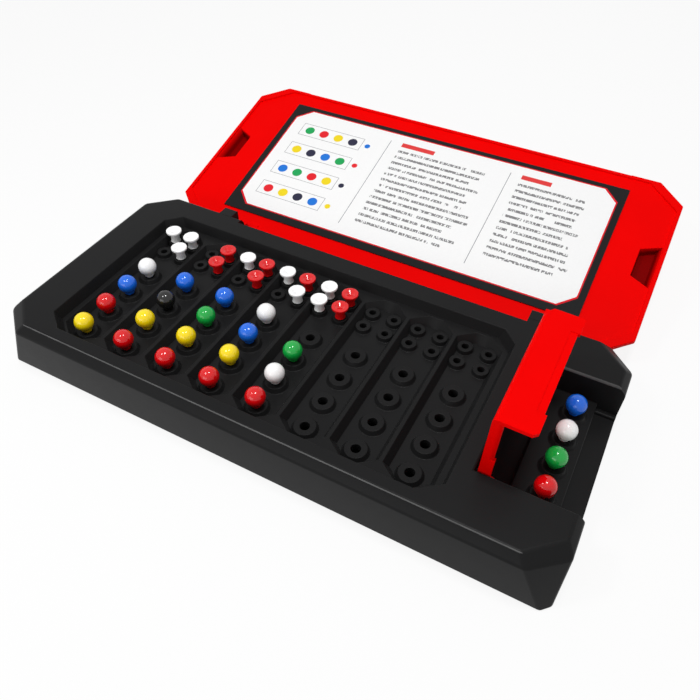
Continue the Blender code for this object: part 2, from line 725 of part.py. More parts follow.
def make_bottom_cover():
    """The flat cover that closes the case from below, sunk inside its wall."""
    mesh = bmesh.new()
    half_x = CASE_LENGTH / 2 - CASE_WALL - CLEARANCE
    half_y = CASE_DEPTH / 2 - CASE_WALL - CLEARANCE
    outline = octagon(half_x, half_y, COVER_CORNER, COVER_CORNER)
    add_loft(mesh, [(outline, 0), (outline, COVER_THICKNESS)])
    cover = make_object("bottom_cover", mesh, "case_black")
    holes = bmesh.new()
    head = SCREW_HEAD_RADIUS + CLEARANCE
    shank = SCREW_RADIUS + CLEARANCE
    profile = [
        (head, -OVERRUN),
        (head, SCREW_HEAD_RECESS),
        (shank, SCREW_HEAD_RECESS),
        (shank, COVER_THICKNESS + OVERRUN),
    ]
    for x, y in screw_places():
        add_turned(holes, profile, PIN_SIDES, x, y)
    combine(cover, "DIFFERENCE", make_object("cover_holes", holes))


def make_screws():
    """Four screws with sunk sockets, heads down."""
    for number, (x, y) in enumerate(screw_places(), start=1):
        mesh = bmesh.new()
        low = SCREW_HEAD_RECESS - CLEARANCE - SCREW_HEAD_HEIGHT
        profile = [
            (SCREW_SOCKET_RADIUS, low + SCREW_SOCKET_DEPTH),
            (SCREW_SOCKET_RADIUS, low),
            (SCREW_HEAD_RADIUS, low),
            (SCREW_HEAD_RADIUS, low + SCREW_HEAD_HEIGHT),
            (SCREW_RADIUS, low + SCREW_HEAD_HEIGHT),
            (SCREW_RADIUS, SCREW_LENGTH - SCREW_RADIUS),
            (SCREW_RADIUS / 2, SCREW_LENGTH),
        ]
        add_turned(mesh, profile, PIN_SIDES)
        make_object(f"cover_screw_{number}", mesh, "pin_steel", (x, y, 0))


def lid_outline(half_length, front, back, cut_x, cut_y):
    """An outline in the lid's own plane, measured from the hinge axis."""
    points = octagon(half_length, (back - front) / 2, cut_x, cut_y)
    return moved(points, 0, (front + back) / 2)


def pocket_outline(side, grown, reach, outer_width, inner_width):
    """One finger pocket's outline, wider towards the lid's edge."""
    outer = side * (LID_LENGTH / 2 - LIP_WIDTH + grown)
    inner = side * (LID_LENGTH / 2 - LIP_WIDTH - reach - grown)
    centre = LID_SETBACK + LID_DEPTH * POCKET_CENTRE_SHARE
    points = [
        (outer, centre - outer_width / 2 - grown),
        (outer, centre + outer_width / 2 + grown),
        (inner, centre + inner_width / 2 + grown),
        (inner, centre - inner_width / 2 - grown),
    ]
    return points if side > 0 else points[::-1]


def pocket_solids(name, grown, top, floor):
    """Both finger pockets as tapered solids, their floors a little smaller than their mouths."""
    mesh = bmesh.new()
    for side in (-1, 1):
        draft = POCKET_FLOOR_DRAFT
        mouth = pocket_outline(side, grown, POCKET_REACH, POCKET_OUTER_WIDTH, POCKET_INNER_WIDTH)
        base = pocket_outline(
            side, grown, POCKET_REACH - draft, POCKET_OUTER_WIDTH - 2 * draft, POCKET_INNER_WIDTH - 2 * draft
        )
        add_loft(mesh, [(base, floor), (mouth, top)])
    return make_object(name, mesh)


def lid_ears():
    """Arms that rise from the lid's front edge to the hinge axis."""
    mesh = bmesh.new()
    plate = -LID_DROP - (LIP_HEIGHT + LID_SIDE) / 2
    foot_front = LID_SETBACK + CLEARANCE
    profile = arc(EAR_RADIUS, 20, 215, EAR_STEPS) + [(foot_front, plate), (foot_front + EAR_FOOT, plate)]
    for lug_left in LUG_LEFTS:
        left = ear_left(lug_left)
        add_along_x(mesh, profile, left, left + EAR_WIDTH)
    return make_object("lid_ears", mesh)


def ear_bores():
    """Bores through the ears for the hinge pins."""
    mesh = bmesh.new()
    profile = circle(HINGE_PIN_RADIUS + CLEARANCE, PIN_SIDES)
    for lug_left in LUG_LEFTS:
        left = ear_left(lug_left)
        add_along_x(mesh, profile, left - OVERRUN, left + EAR_WIDTH + OVERRUN)
    return make_object("ear_bores", mesh)


def latch_recess(name):
    """A shallow recess in the lid's far edge, for a finger to lift the closed lid."""
    mesh = bmesh.new()
    half = LATCH_RECESS_LENGTH / 2
    back = LID_SETBACK + LID_DEPTH
    outline = rectangle(-half, half, back - LATCH_RECESS_DEPTH, back + OVERRUN)
    low = -LID_DROP - LID_SIDE - CLEARANCE - LID_COVER_DEPTH
    add_loft(mesh, [(outline, low - OVERRUN), (outline, -LID_DROP + OVERRUN)])
    return make_object(name, mesh)


def make_lid_panel():
    """The lid's inner moulding: a plate with a low lip, two finger pockets and two hinge ears."""
    mesh = bmesh.new()
    rim = -LID_DROP
    panel = rim - LIP_HEIGHT
    under = rim - LID_SIDE
    back = LID_SETBACK + LID_DEPTH
    outer = lid_outline(LID_LENGTH / 2, LID_SETBACK, back, LID_CORNER_X, LID_CORNER_Y)
    add_loft(mesh, [(outer, under), (outer, rim)])
    lid = make_object("lid_panel", mesh, "lid_red", (0, HINGE_Y, HINGE_Z))
    lid.rotation_euler = (math.radians(LID_TILT), 0, 0)

    floor = panel - POCKET_DEPTH
    combine(lid, "UNION", pocket_solids("pocket_tubs", POCKET_WALL, panel - WELD, floor - POCKET_WALL))
    inner = bmesh.new()
    front = LID_SETBACK + LIP_WIDTH
    outline = lid_outline(LID_LENGTH / 2 - LIP_WIDTH, front, back - LIP_WIDTH, PANEL_CORNER_X, PANEL_CORNER_Y)
    add_loft(inner, [(outline, panel), (outline, rim + OVERRUN)])
    combine(lid, "DIFFERENCE", make_object("lid_panel_cut", inner))
    combine(lid, "DIFFERENCE", pocket_solids("pocket_cuts", 0, panel + LIP_HEIGHT / 2, floor))
    combine(lid, "DIFFERENCE", latch_recess("panel_latch_recess"))
    combine(lid, "UNION", lid_ears())
    combine(lid, "DIFFERENCE", ear_bores())
    return lid


def make_lid_cover(lid):
    """The lid's outer moulding: a shallow bevelled tray with windows for the pockets' floors."""
    mesh = bmesh.new()
    top = -LID_DROP - LID_SIDE - CLEARANCE
    low = top - LID_COVER_DEPTH
    bevel = LID_COVER_BEVEL
    wall = LID_COVER_WALL
    half = LID_LENGTH / 2
    back = LID_SETBACK + LID_DEPTH
    outer = lid_outline(half, LID_SETBACK, back, LID_CORNER_X, LID_CORNER_Y)
    sunk = lid_outline(half - bevel, LID_SETBACK + bevel, back - bevel, LID_CORNER_X, LID_CORNER_Y)
    add_loft(mesh, [(sunk, low), (outer, low + bevel), (outer, top)])
    cover = make_object("lid_cover", mesh, "lid_red")
    cover.parent = lid

    hollow = bmesh.new()
    mouth = lid_outline(half - wall, LID_SETBACK + wall, back - wall, LID_CORNER_X, LID_CORNER_Y)
    inset = bevel + wall
    floor = lid_outline(half - inset, LID_SETBACK + inset, back - inset, LID_CORNER_X, LID_CORNER_Y)
    add_loft(hollow, [(floor, low + wall), (mouth, low + wall + bevel), (mouth, top + OVERRUN)])
    combine(cover, "DIFFERENCE", make_object("cover_hollow", hollow))
    window = pocket_solids("cover_windows", POCKET_WALL + CLEARANCE, top + OVERRUN, low - OVERRUN)
    combine(cover, "DIFFERENCE", window)
    combine(cover, "DIFFERENCE", latch_recess("cover_latch_recess"))


def make_card(lid):
    """The printed rules card, which lies on the lid's panel."""
    mesh = bmesh.new()
    low = -LID_DROP - LIP_HEIGHT + CLEARANCE
    outline = rectangle(-CARD_LENGTH / 2, CARD_LENGTH / 2, CARD_SETBACK, CARD_SETBACK + CARD_DEPTH)
    add_loft(mesh, [(outline, low), (outline, low + CARD_THICKNESS)])
    card = make_object("rules_card", mesh, "card_print")
    card.parent = lid


def make_hinge_pins():
    """Steel pins that join the lid's ears to the case's lugs."""
    for name, lug_left in zip(("hinge_pin_left", "hinge_pin_right"), LUG_LEFTS):
        mesh = bmesh.new()
        length = LUG_WIDTH + CLEARANCE + EAR_WIDTH
        add_along_x(mesh, circle(HINGE_PIN_RADIUS, PIN_SIDES), 0, length)
        make_object(name, mesh, "pin_steel", (lug_left, HINGE_Y, HINGE_Z))


def shield_section():
    """The shield's wall and roof in one (x, z) outline, with a rounded bend."""
    bend = (-SHIELD_FACE + SHIELD_BEND, SHIELD_TOP - SHIELD_BEND)
    return [
        (-SHIELD_FACE + SHIELD_SKIN, 0),
        (-SHIELD_FACE + SHIELD_SKIN, SHIELD_TOP - SHIELD_ROOF),
        (SHIELD_ROOF_REACH, SHIELD_TOP - SHIELD_ROOF),
        (SHIELD_ROOF_REACH, SHIELD_TOP),
        *arc(SHIELD_BEND, 90, 180, BEND_STEPS, bend),
        (-SHIELD_FACE, 0),
    ]


def shield_end():
    """Outline of the shield's end plates, round at the foot, with a lip above it."""
    inner = SHIELD_END_DEPTH - SHIELD_FACE
    lip = inner + SHIELD_LIP_REACH
    corner = SHIELD_LIP_REACH / 3
    return [
        (-SHIELD_FACE + WELD, 0),
        *arc(SHIELD_FOOT_RADIUS, 200, 360, BEND_STEPS),
        (lip, SHIELD_FOOT_RISE),
        (lip, SHIELD_LIP_TOP - corner),
        (lip - corner, SHIELD_LIP_TOP),
        (inner, SHIELD_LIP_TOP),
        (inner, SHIELD_TOP - SHIELD_ROOF / 2),
        (-SHIELD_FACE + WELD, SHIELD_TOP - SHIELD_BEND),
    ]


def shield_corner_cuts():
    """Cuts that shape the roof's corners."""
    mesh = bmesh.new()
    right = SHIELD_ROOF_REACH
    left = -SHIELD_FACE
    front = SHIELD_FRONT_Y
    back = SHIELD_BACK_Y
    over = OVERRUN
    corners = [
        [
            (right - SHIELD_CORNER_FRONT, front),
            (right, front - over),
            (right + over, front),
            (right, front + SHIELD_CORNER_FRONT),
        ],
        [
            (right, back - SHIELD_CORNER_BACK),
            (right + over, back),
            (right, back + over),
            (right - SHIELD_CORNER_BACK, back),
        ],
        [
            (left + SHIELD_CORNER_LEFT_X, back),
            (left, back + over),
            (left - over, back),
            (left, back - SHIELD_CORNER_LEFT_Y),
        ],
    ]
    for corner in corners:
        add_loft(mesh, [(corner, SHIELD_TOP - SHIELD_BEND), (corner, SHIELD_TOP + over)])
    return make_object("shield_corner_cuts", mesh)


def shield_grip_cut():
    """A shallow grip along the roof's free edge, which also stands back a little there."""
    mesh = bmesh.new()
    right = SHIELD_ROOF_REACH
    high = SHIELD_TOP + OVERRUN
    low = SHIELD_TOP - SHIELD_ROOF - OVERRUN
    profile = [
        (right - SHIELD_GRIP_WIDTH, high),
        (right - SHIELD_GRIP_WIDTH, SHIELD_TOP - SHIELD_GRIP_DEPTH),
        (right - SHIELD_GRIP_SETBACK, SHIELD_TOP - SHIELD_GRIP_DEPTH),
        (right - SHIELD_GRIP_SETBACK, low),
        (right + OVERRUN, low),
        (right + OVERRUN, high),
    ]
    add_along_y(mesh, profile, SHIELD_FRONT_Y + SHIELD_GRIP_FRONT, SHIELD_BACK_Y - SHIELD_GRIP_BACK)
    return make_object("shield_grip_cut", mesh)


def make_shield():
    """The red code shield: a thin wall with end plates, a roof with a grip, and pins at its foot."""
    mesh = bmesh.new()
    add_along_y(mesh, shield_section()[::-1], SHIELD_FRONT_Y, SHIELD_BACK_Y)
    shield = make_object("code_shield", mesh, "lid_red", (SHIELD_AXIS_X, 0, SHIELD_AXIS_Z))
    shield.rotation_euler = (0, math.radians(SHIELD_LEAN), 0)
    ends = bmesh.new()
    add_along_y(ends, shield_end(), SHIELD_FRONT_Y, SHIELD_FRONT_Y + SHIELD_SKIN)
    add_along_y(ends, shield_end(), SHIELD_BACK_Y - SHIELD_SKIN, SHIELD_BACK_Y)
    combine(shield, "UNION", make_object("shield_ends", ends))
    combine(shield, "DIFFERENCE", shield_corner_cuts())
    combine(shield, "DIFFERENCE", shield_grip_cut())

    pins = bmesh.new()
    profile = circle(SHIELD_PIN_RADIUS, PIN_SIDES)
    add_along_y(pins, profile, CHANNEL_FRONT_Y - SHIELD_PIN_GRIP, SHIELD_FRONT_Y + SHIELD_SKIN / 2)
    add_along_y(pins, profile, SHIELD_BACK_Y - SHIELD_SKIN / 2, CHANNEL_BACK_Y + SHIELD_PIN_GRIP)
    combine(shield, "UNION", make_object("shield_pins", pins))


def code_peg_mesh():
    """A ball on a neck, with a stem below; its origin is on the boss's top."""
    mesh = bmesh.new()
    stem = CODE_HOLE_RADIUS - CLEARANCE
    neck = math.degrees(math.asin(CODE_NECK_RADIUS / CODE_BALL_RADIUS))
    profile = [
        (stem - STEM_TIP, -CODE_STEM_LENGTH),
        (stem, STEM_TIP - CODE_STEM_LENGTH),
        (stem, CLEARANCE),
        (CODE_NECK_RADIUS, CLEARANCE),
    ]
    profile += arc(CODE_BALL_RADIUS, neck - 90, 90, BALL_RINGS, (0, CODE_BALL_HEIGHT))[:-1]
    profile.append((0, CODE_BALL_HEIGHT + CODE_BALL_RADIUS))
    add_turned(mesh, profile, PEG_SIDES)
    return mesh


def key_peg_mesh():
    """A flat head with a dimple, on a collar, with a stem below; its origin is on the boss's top."""
    mesh = bmesh.new()
    stem = KEY_HOLE_RADIUS - CLEARANCE
    rim = KEY_HEAD_UNDERSIDE + KEY_RIM_HEIGHT
    profile = [
        (stem - STEM_TIP, -KEY_STEM_LENGTH),
        (stem, STEM_TIP - KEY_STEM_LENGTH),
        (stem, CLEARANCE),
        (KEY_COLLAR_RADIUS, CLEARANCE),
        (KEY_COLLAR_RADIUS, KEY_HEAD_UNDERSIDE - KEY_EDGE_ROUND),
        (KEY_HEAD_RADIUS - KEY_EDGE_ROUND, KEY_HEAD_UNDERSIDE),
        (KEY_HEAD_RADIUS, KEY_HEAD_UNDERSIDE + KEY_EDGE_ROUND),
        (KEY_HEAD_RADIUS, rim),
        (KEY_HEAD_RADIUS - KEY_EDGE_ROUND, rim + KEY_EDGE_ROUND),
        (KEY_DIMPLE_RADIUS, rim + KEY_EDGE_ROUND),
        (0, rim + KEY_EDGE_ROUND - KEY_DIMPLE_DEPTH),
    ]
    add_turned(mesh, profile, PEG_SIDES)
    return mesh


def make_code_peg(name, colour, x, y, z):
    """One code peg, seated in its hole."""
    make_object(name, code_peg_mesh(), f"peg_{colour}", (x, y, z), smooth_angle=40)


def make_pegs():
    """All the pegs in play, each standing in its own hole."""
    for bay, (x, guess) in enumerate(zip(bay_xs(), CODE_GUESSES), start=1):
        for row, (y, colour) in enumerate(zip(BAY_YS, guess), start=1):
            make_code_peg(f"code_peg_bay{bay}_row{row}", colour, x, y, BOSS_TOP)
    for place, ((x, y), colour) in enumerate(zip(secret_places(), SECRET_CODE), start=1):
        make_code_peg(f"secret_peg_{place}", colour, x, y, SECRET_BOSS_TOP)
    for bay, (x, answer) in enumerate(zip(bay_xs(), KEY_ANSWERS), start=1):
        for place, colour in answer.items():
            dx, y = KEY_PLACES[place]
            name = f"key_peg_bay{bay}_{place}"
            make_object(name, key_peg_mesh(), f"peg_{colour}", (x + dx, y, BOSS_TOP))


def main():
    """Builds every piece in an empty scene."""
    for old in list(bpy.data.objects):
        bpy.data.objects.remove(old)
    for name, (colour, roughness) in PLASTICS.items():
        make_material(name, colour, roughness, 0.0)
    for name, (colour, roughness) in METALS.items():
        make_material(name, colour, roughness, 1.0)
    make_case()
    make_bottom_cover()
    make_screws()
    make_hinge_pins()
    lid = make_lid_panel()
    make_lid_cover(lid)
    make_card(lid)
    make_shield()
    make_pegs()


main()
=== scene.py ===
"""Dresses the code breaking peg game: camera, light, mouldings, pegs and the printed card.

Metres, in the same frame as the solids: +Z up, X along the board, Y from the player to the lid.
"""

import math

import bmesh
import bpy
from mathutils import Matrix, Vector


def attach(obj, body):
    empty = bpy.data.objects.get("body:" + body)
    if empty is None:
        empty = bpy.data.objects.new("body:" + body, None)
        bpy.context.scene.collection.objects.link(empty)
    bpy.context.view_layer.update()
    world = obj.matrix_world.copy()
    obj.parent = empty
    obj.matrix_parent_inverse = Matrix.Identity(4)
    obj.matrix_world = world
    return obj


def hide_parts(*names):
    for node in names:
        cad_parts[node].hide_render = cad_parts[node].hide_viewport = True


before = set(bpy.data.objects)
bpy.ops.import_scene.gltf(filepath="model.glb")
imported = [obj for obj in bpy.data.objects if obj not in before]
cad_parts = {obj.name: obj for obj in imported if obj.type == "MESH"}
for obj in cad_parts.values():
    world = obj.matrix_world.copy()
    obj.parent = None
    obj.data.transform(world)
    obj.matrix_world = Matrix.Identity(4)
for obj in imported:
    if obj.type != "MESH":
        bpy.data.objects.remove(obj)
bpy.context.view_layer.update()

# How close two places count as one, and how far a cutter runs past what it cuts
NEAR = 1e-5
PAST = 0.001

# Case: its outside, with the amounts by which its cut corners widen up to the shoulder
LENGTH = 0.284
DEPTH = 0.126
HEIGHT = 0.029
SHOULDER = 0.0252
FOOT_CUT = 0.0036
FRONT_WIDENING = 0.0110
BACK_WIDENING = 0.0089
SIDE_WIDENING = 0.0084
TOP_SIDE = 0.1382
TOP_FRONT = -0.0592
TOP_BACK = 0.0606
TOP_BACK_TRIM = 0.0022
TOP_SIDE_TRIM = 0.0016
EDGE_ROUND = 0.0011
MOUTH_ROUND = 0.00035
ABOVE_TOP = 0.030

# The room under the top, and what hangs in it; its foot and top are half a width and half a depth
ROOM_FOOT = (0.1398, 0.0608)
ROOM_TOP = (0.1376, 0.0586)
ROOM_CUT = (0.0060, 0.0060)
ROOM_WIDENING = (0.0060, 0.0050)
ROOM_STRAIGHT = 0.0026
CEILING = 0.0259
ABOVE_CEILING = 0.0275
TUB_SKIN = 0.0014
BAY_TUB_TOP = 0.0223
CHANNEL_SKIN = 0.0016
CHANNEL_TUB_END = 0.15
SCREW_X = 0.126
SCREW_Y = 0.050
POST_RADIUS = 0.0042
POST_LOW = 0.0029

# Recess and bays; the slopes are how far a bay's walls lean in down to its floor
BAYS = 8
PITCH = 0.025
FIRST_BAY = -0.102
RECESS = 0.0234
RECESS_BOX = (-0.1181, 0.0891, -0.0530, 0.0472)
RECESS_DRAFT = 0.0018
RECESS_CUTS = ((0.0100, 0.0075), (0.0073, 0.0073))
BAY_FLOOR = 0.0189
BAY_HALF = 0.0115
BAY_FRONT = -0.0503
BAY_BACK = 0.044
BAY_SIDE_SLOPE = 0.0023
BAY_FRONT_SLOPE = 0.0023
BAY_BACK_SLOPE = 0.003
BAY_CUTS = ((0.0064, 0.0056), (0.0062, 0.0062))
BAY_ROUND = 0.0003

# Bosses, as radius at the foot and at the top, and the holes that go down through them
BOSS = 0.00235
CODE_BOSS = (0.0061, 0.0050)
KEY_BOSS = (0.0042, 0.0037)
CODE_HOLE = 0.0022
KEY_HOLE = 0.0017
BAY_HOLE_LOW = 0.0165
SECRET_HOLE_LOW = 0.0069
CODE_YS = (-0.0425, -0.02673, -0.01096, 0.00481)
KEY_YS = (0.0244, 0.0351)
KEY_X = 0.006
SECRET_X = 0.124
SECRET_YS = (-0.023655, -0.007885, 0.007885, 0.023655)

# Channel, which runs out past the case's right end; LEDGE is left, right, front, back, low and top
CHANNEL_LEFT = 0.09685
CHANNEL_RIGHT = 0.1436
CHANNEL_FRONT = -0.0338
CHANNEL_BACK = 0.036
CHANNEL_ROUND = 0.0012
PLATFORM_LEFT = 0.1105
PLATFORM_RIGHT = 0.1325
PLATFORM_TOP = 0.0145
PLATFORM_SLOPE = 0.0015
PLATFORM_EASE = 0.0010
STRIP_FLOOR = 0.0095
STRIP_TOP = 0.016
LEDGE = (0.1319, LENGTH / 2, 0.0336, 0.0368, 0.0089, 0.0112)
EDGE_EASE = 0.0008

# Hinges; HINGE is the y and z of their axis, and LUGS are the left ends of the lugs
HINGE = (0.064, 0.0209)
LUGS = (-0.0947, 0.0891)
LUG_WIDTH = 0.0081
LUG_FRONT = 0.0600
LUG_RADIUS = 0.0028
# Width, front, back and low end of the solid block behind a lug
LUG_BLOCK = (0.0164, 0.0588, 0.0650, 0.0159)
EAR_WIDTH = 0.0061
# Front, back, low and high end of an ear's slot, and of the step between the hinges
EAR_SLOT = (0.0604, 0.068, 0.0175, ABOVE_TOP)
STEP = (0.05632, 0.0665, 0.0238, ABOVE_TOP)
STEP_SLOPE = 0.00668
EAR_RADIUS = 0.0026
EAR_LOW = -0.0108
EAR_FOOT = 0.0105
EAR_FOOT_TOP = -0.0090
GAP = 0.0003
PIN_BORE = 0.00155

# Lid, in its own plane, with the hinge's axis at 0
TILT = 14.27
LID_HALF = 0.13925
LID_FRONT = 0.0032
LID_BACK = 0.1248
LID_CUT = (0.0153, 0.0135)
LID_ROUND = 0.0005
LIP = 0.0022
FIELD_CUT = (0.0182, 0.0160)
FIELD_ROUND = 0.0003
RIM = -0.0084
PANEL = -0.0096
LID_UNDER = RIM - 0.003
LATCH_HALF = 0.1075
LATCH_DEPTH = 0.0006
LATCH_SPAN = (-0.02, 0.0)
TRAY_TOP = RIM - 0.0033
TRAY_LOW = TRAY_TOP - 0.0042
TRAY_BEVEL = 0.0036
TRAY_SKIN = 0.0013

# Finger pockets in the lid
POCKET_WIDTH = 0.0112
POCKET_HALF = 0.01475
POCKET_CENTRE = 0.06530112
POCKET_TAPER = 0.0051
POCKET_DRAFT = 0.001
POCKET_LEAN = 0.0028
POCKET_DEPTH = 0.005
POCKET_SKIN = 0.0012
POCKET_OVERLAP = 0.0006

# Card and its print, in the lid's own plane
CARD = (-0.1098, 0.1098, 0.0175, 0.1133)
CARD_THICKNESS = 0.0004
PRINT_MIDDLE = (0.00015, 0.0664)
PRINT_HALF = (0.10505, 0.0431)
PRINT_CUT = (0.0085, 0.0083)
PRINT_LINE = 0.0008
DOTS_START = (-0.0955, 0.0300)
DOTS_PITCH = (0.0105, 0.0180)
DOT_COLUMNS = 5.0
DOT_ROWS = 4.0
DOT_RADIUS = 0.0031
LAST_DOT_LESS = 0.0013
FRAME_MIDDLE = -0.0745
FRAME_HALF = (0.0222, 0.0053)
FRAME_INSIDE = (0.0219, 0.0050)
# Left, right, front, rows and seed of each block of bars
BAR_BLOCKS = ((-0.028, 0.036, 0.0335, 13.0, 3.7), (0.050, 0.096, 0.0380, 12.0, 19.4))
BAR_PITCH = 0.0050
RULES = ((-0.0362, -0.0358, 0.030, 0.103), (0.0428, 0.0432, 0.030, 0.103))
TABS = ((-0.028, -0.006, 0.1000, 0.1034), (0.050, 0.068, 0.1000, 0.1034))
DOT_TINTS = (
    (0.0, (0.75, 0.02, 0.03, 1.0)),
    (0.2, (0.02, 0.18, 0.66, 1.0)),
    (0.4, (0.85, 0.66, 0.02, 1.0)),
    (0.6, (0.02, 0.36, 0.10, 1.0)),
    (0.8, (0.03, 0.03, 0.06, 1.0)),
)

# Shield, upright, with its axis at x = 0 and z = 0; each pin is a start and a length, the bore a radius
# and a length
SHIELD_AXIS = (0.103, 0.02365)
SHIELD_LEAN = 1.1
SHIELD_ENDS = (-0.0334, 0.0337)
WALL_LEFT = -0.0051
WALL_RIGHT = -0.0039
ROOF_END = 0.01175
ROOF_TOP = 0.039
ROOF_UNDER = 0.0372
ROOF_ROUND = 0.002
FRONT_PLATE = 0.0022
BACK_PLATE = 0.0012
STRIP_EDGE = -0.0006
STRIP_LOW = 0.0141
STRIP_ROUND = 0.0019
FOOT_EDGE = 0.00015
FOOT_TOP = 0.0145
FOOT_RADIUS = 0.003
SHIELD_PINS = ((-0.036, 0.0032), (0.0331, 0.0039))
SHIELD_PIN = 0.0015
SHIELD_BORES = (-0.0376, 0.035)
SHIELD_BORE = (0.0018, 0.0036)
GRIP_SIDE = 0.0041
GRIP_ENDS = (0.0108, 0.0097)
GRIP_FLOOR = 0.0386
GRIP_NOTCH = 0.0009
NOTCH_LOW = 0.036
ABOVE_ROOF = 0.041
BEYOND_ROOF = 0.0135
BEYOND_SHIELD = 0.02
WEDGE_REACH = 0.02

# Pegs; each ring of the stem is a radius and the step down to it
BALL_RADIUS = 0.0047
BALL_CENTRE = 0.0056
NECK = 0.0027
STEM = (
    (0.0026, -0.0002), (0.0026, -0.0010), (0.0024, -0.00025),
    (0.0019, 0.0), (0.0019, -0.0062), (0.0015, -0.0006),
)
GUESSES = (
    ("yellow", "red", "blue", "white"),
    ("red", "yellow", "black", "blue"),
    ("red", "yellow", "green", "blue"),
    ("red", "yellow", "blue", "white"),
    ("red", "white", "green"),
)
ANSWERS = (
    {"back_left": "white", "back_right": "white", "front_right": "white"},
    {"back_right": "red", "front_right": "red"},
    {"back_left": "white", "back_right": "red", "front_right": "red"},
    {"back_left": "white", "back_right": "red", "front_right": "white"},
    {"back_left": "white", "back_right": "red", "front_left": "white", "front_right": "red"},
)
SECRET = ("red", "green", "white", "blue")

# Colours and grain
CASE_BLACK = (0.0112, 0.0112, 0.0115)
# Painted highlight: the paler grey along the case's front top edge and the channel's back lip
PAINTED_HIGHLIGHT_GREY = (0.125, 0.125, 0.125, 1.0)
LID_RED = (0.84, 0.0005, 0.0005)
# Painted shade: the dark red deep in the lid's finger pockets
POCKET_PAINTED_SHADE = (0.09, 0.0002, 0.0004, 1.0)
PEG_TINTS = {
    "red": (0.68, 0.002, 0.004),
    "yellow": (1.0, 0.72, 0.004),
    "blue": (0.008, 0.14, 0.74),
    "green": (0.006, 0.38, 0.055),
    "white": (0.98, 0.98, 0.98),
    "black": (0.010, 0.010, 0.010),
}
# Scale, detail and roughness of two noises
FLOW_MARKS = (26.0, 4.0, 0.6)
SMEARS = (180.0, 3.0, 0.55)
PLASTIC_GRAIN = 2600.0
PEG_GRAIN = 900.0
GRAIN_DEPTH = 0.000012
PEG_GRAIN_DEPTH = 0.000004
GRAIN_STRENGTH = 0.35

# Light and floor
ROOM_LIGHT = 0.34
FLOOR_SIZE = 8
FLOOR_HEIGHT = -0.0002
FLOOR_GLOW = 0.88


def make_camera():
    """The camera, at the place and turn that show the board as a player's left shoulder sees it."""
    data = bpy.data.cameras.new("camera")
    data.lens = 34.02
    data.sensor_width = 36
    data.clip_start = 0.01
    camera = bpy.data.objects.new("camera", data)
    bpy.context.scene.collection.objects.link(camera)
    across = Vector((0.88252, 0.47028, 0.00039))
    up = Vector((-0.34356, 0.64415, 0.68340))
    ahead = Vector((-0.32114, 0.60325, -0.73004))
    camera.matrix_world = Matrix((across, up, -ahead)).transposed().to_4x4()
    camera.location = (0.1212, -0.1852, 0.25325)
    bpy.context.scene.camera = camera


# Materials


class Worth:
    """What one socket gives; sums on it add their own nodes."""

    def __init__(self, recipe, socket):
        self.recipe = recipe
        self.socket = socket

    def maths(self, operation, *terms):
        return self.recipe.maths(operation, *terms)

    def __add__(self, other):
        return self.maths("ADD", self, other)

    def __radd__(self, other):
        return self.maths("ADD", other, self)

    def __sub__(self, other):
        return self.maths("SUBTRACT", self, other)

    def __rsub__(self, other):
        return self.maths("SUBTRACT", other, self)

    def __mul__(self, other):
        return self.maths("MULTIPLY", self, other)

    def __truediv__(self, other):
        return self.maths("DIVIDE", self, other)

    def __gt__(self, other):
        return self.maths("GREATER_THAN", self, other)

    def __lt__(self, other):
        return self.maths("LESS_THAN", self, other)


class Recipe:
    """A material under way; every node but its shader comes from add."""

    def __init__(self, name, **steady):
        self.material = bpy.data.materials.new(name)
        self.material.use_nodes = True
        self.tree = self.material.node_tree
        self.shader = self.tree.nodes["Principled BSDF"]
        self.fill(self.shader, {key.replace("_", " "): value for key, value in steady.items()})

    def fill(self, node, inputs):
        for key, value in inputs.items():
            if isinstance(value, Worth):
                self.tree.links.new(value.socket, node.inputs[key])
            else:
                node.inputs[key].default_value = value

    def add(self, kind, settings=None, inputs=None, output=0):
        node = self.tree.nodes.new("ShaderNode" + kind)
        for name, value in (settings or {}).items():
            if name == "stops":
                node.color_ramp.interpolation = "CONSTANT"
                for place, (at, colour) in enumerate(value):
                    stop = node.color_ramp.elements[place] if place < 2 else node.color_ramp.elements.new(at)
                    stop.position = at
                    stop.color = colour
            else:
                setattr(node, name, value)
        self.fill(node, inputs or {})
        return Worth(self, node.outputs[output])

    def maths(self, operation, *terms):
        return self.add("Math", {"operation": operation}, dict(enumerate(terms)))

    def mix(self, share, first, second):
        """Two colours mixed by a share."""
        return self.add("Mix", {"data_type": "RGBA"}, {0: share, 6: first, 7: second}, 2)

    def uneven(self, share, colour, spread):
        """A colour that is a little darker or lighter from place to place."""
        return self.mix(share, tone(colour, 1 - spread), tone(colour, 1 + spread))

    def place(self):
        return self.add("TexCoord", output="Object")

    def along(self, place, axis):
        """One coordinate of a place."""
        return self.add("SeparateXYZ", None, {"Vector": place}, axis)

    def noise(self, place, scale, detail, rough):
        inputs = {"Vector": place, "Scale": scale, "Detail": detail, "Roughness": rough}
        return self.add("TexNoise", None, inputs)

    def flat_noise(self, x, y, detail):
        """Noise over two values."""
        place = self.add("CombineXYZ", None, {"X": x, "Y": y})
        inputs = {"Vector": place, "Scale": 1.0, "Detail": detail}
        return self.add("TexNoise", {"noise_dimensions": "2D"}, inputs)

    def bump(self, height, strength, distance):
        return self.add("Bump", None, {"Height": height, "Strength": strength, "Distance": distance})


def tone(colour, factor):
    """A colour made a little lighter or darker."""
    return (*[min(1.0, part * factor) for part in colour], 1.0)


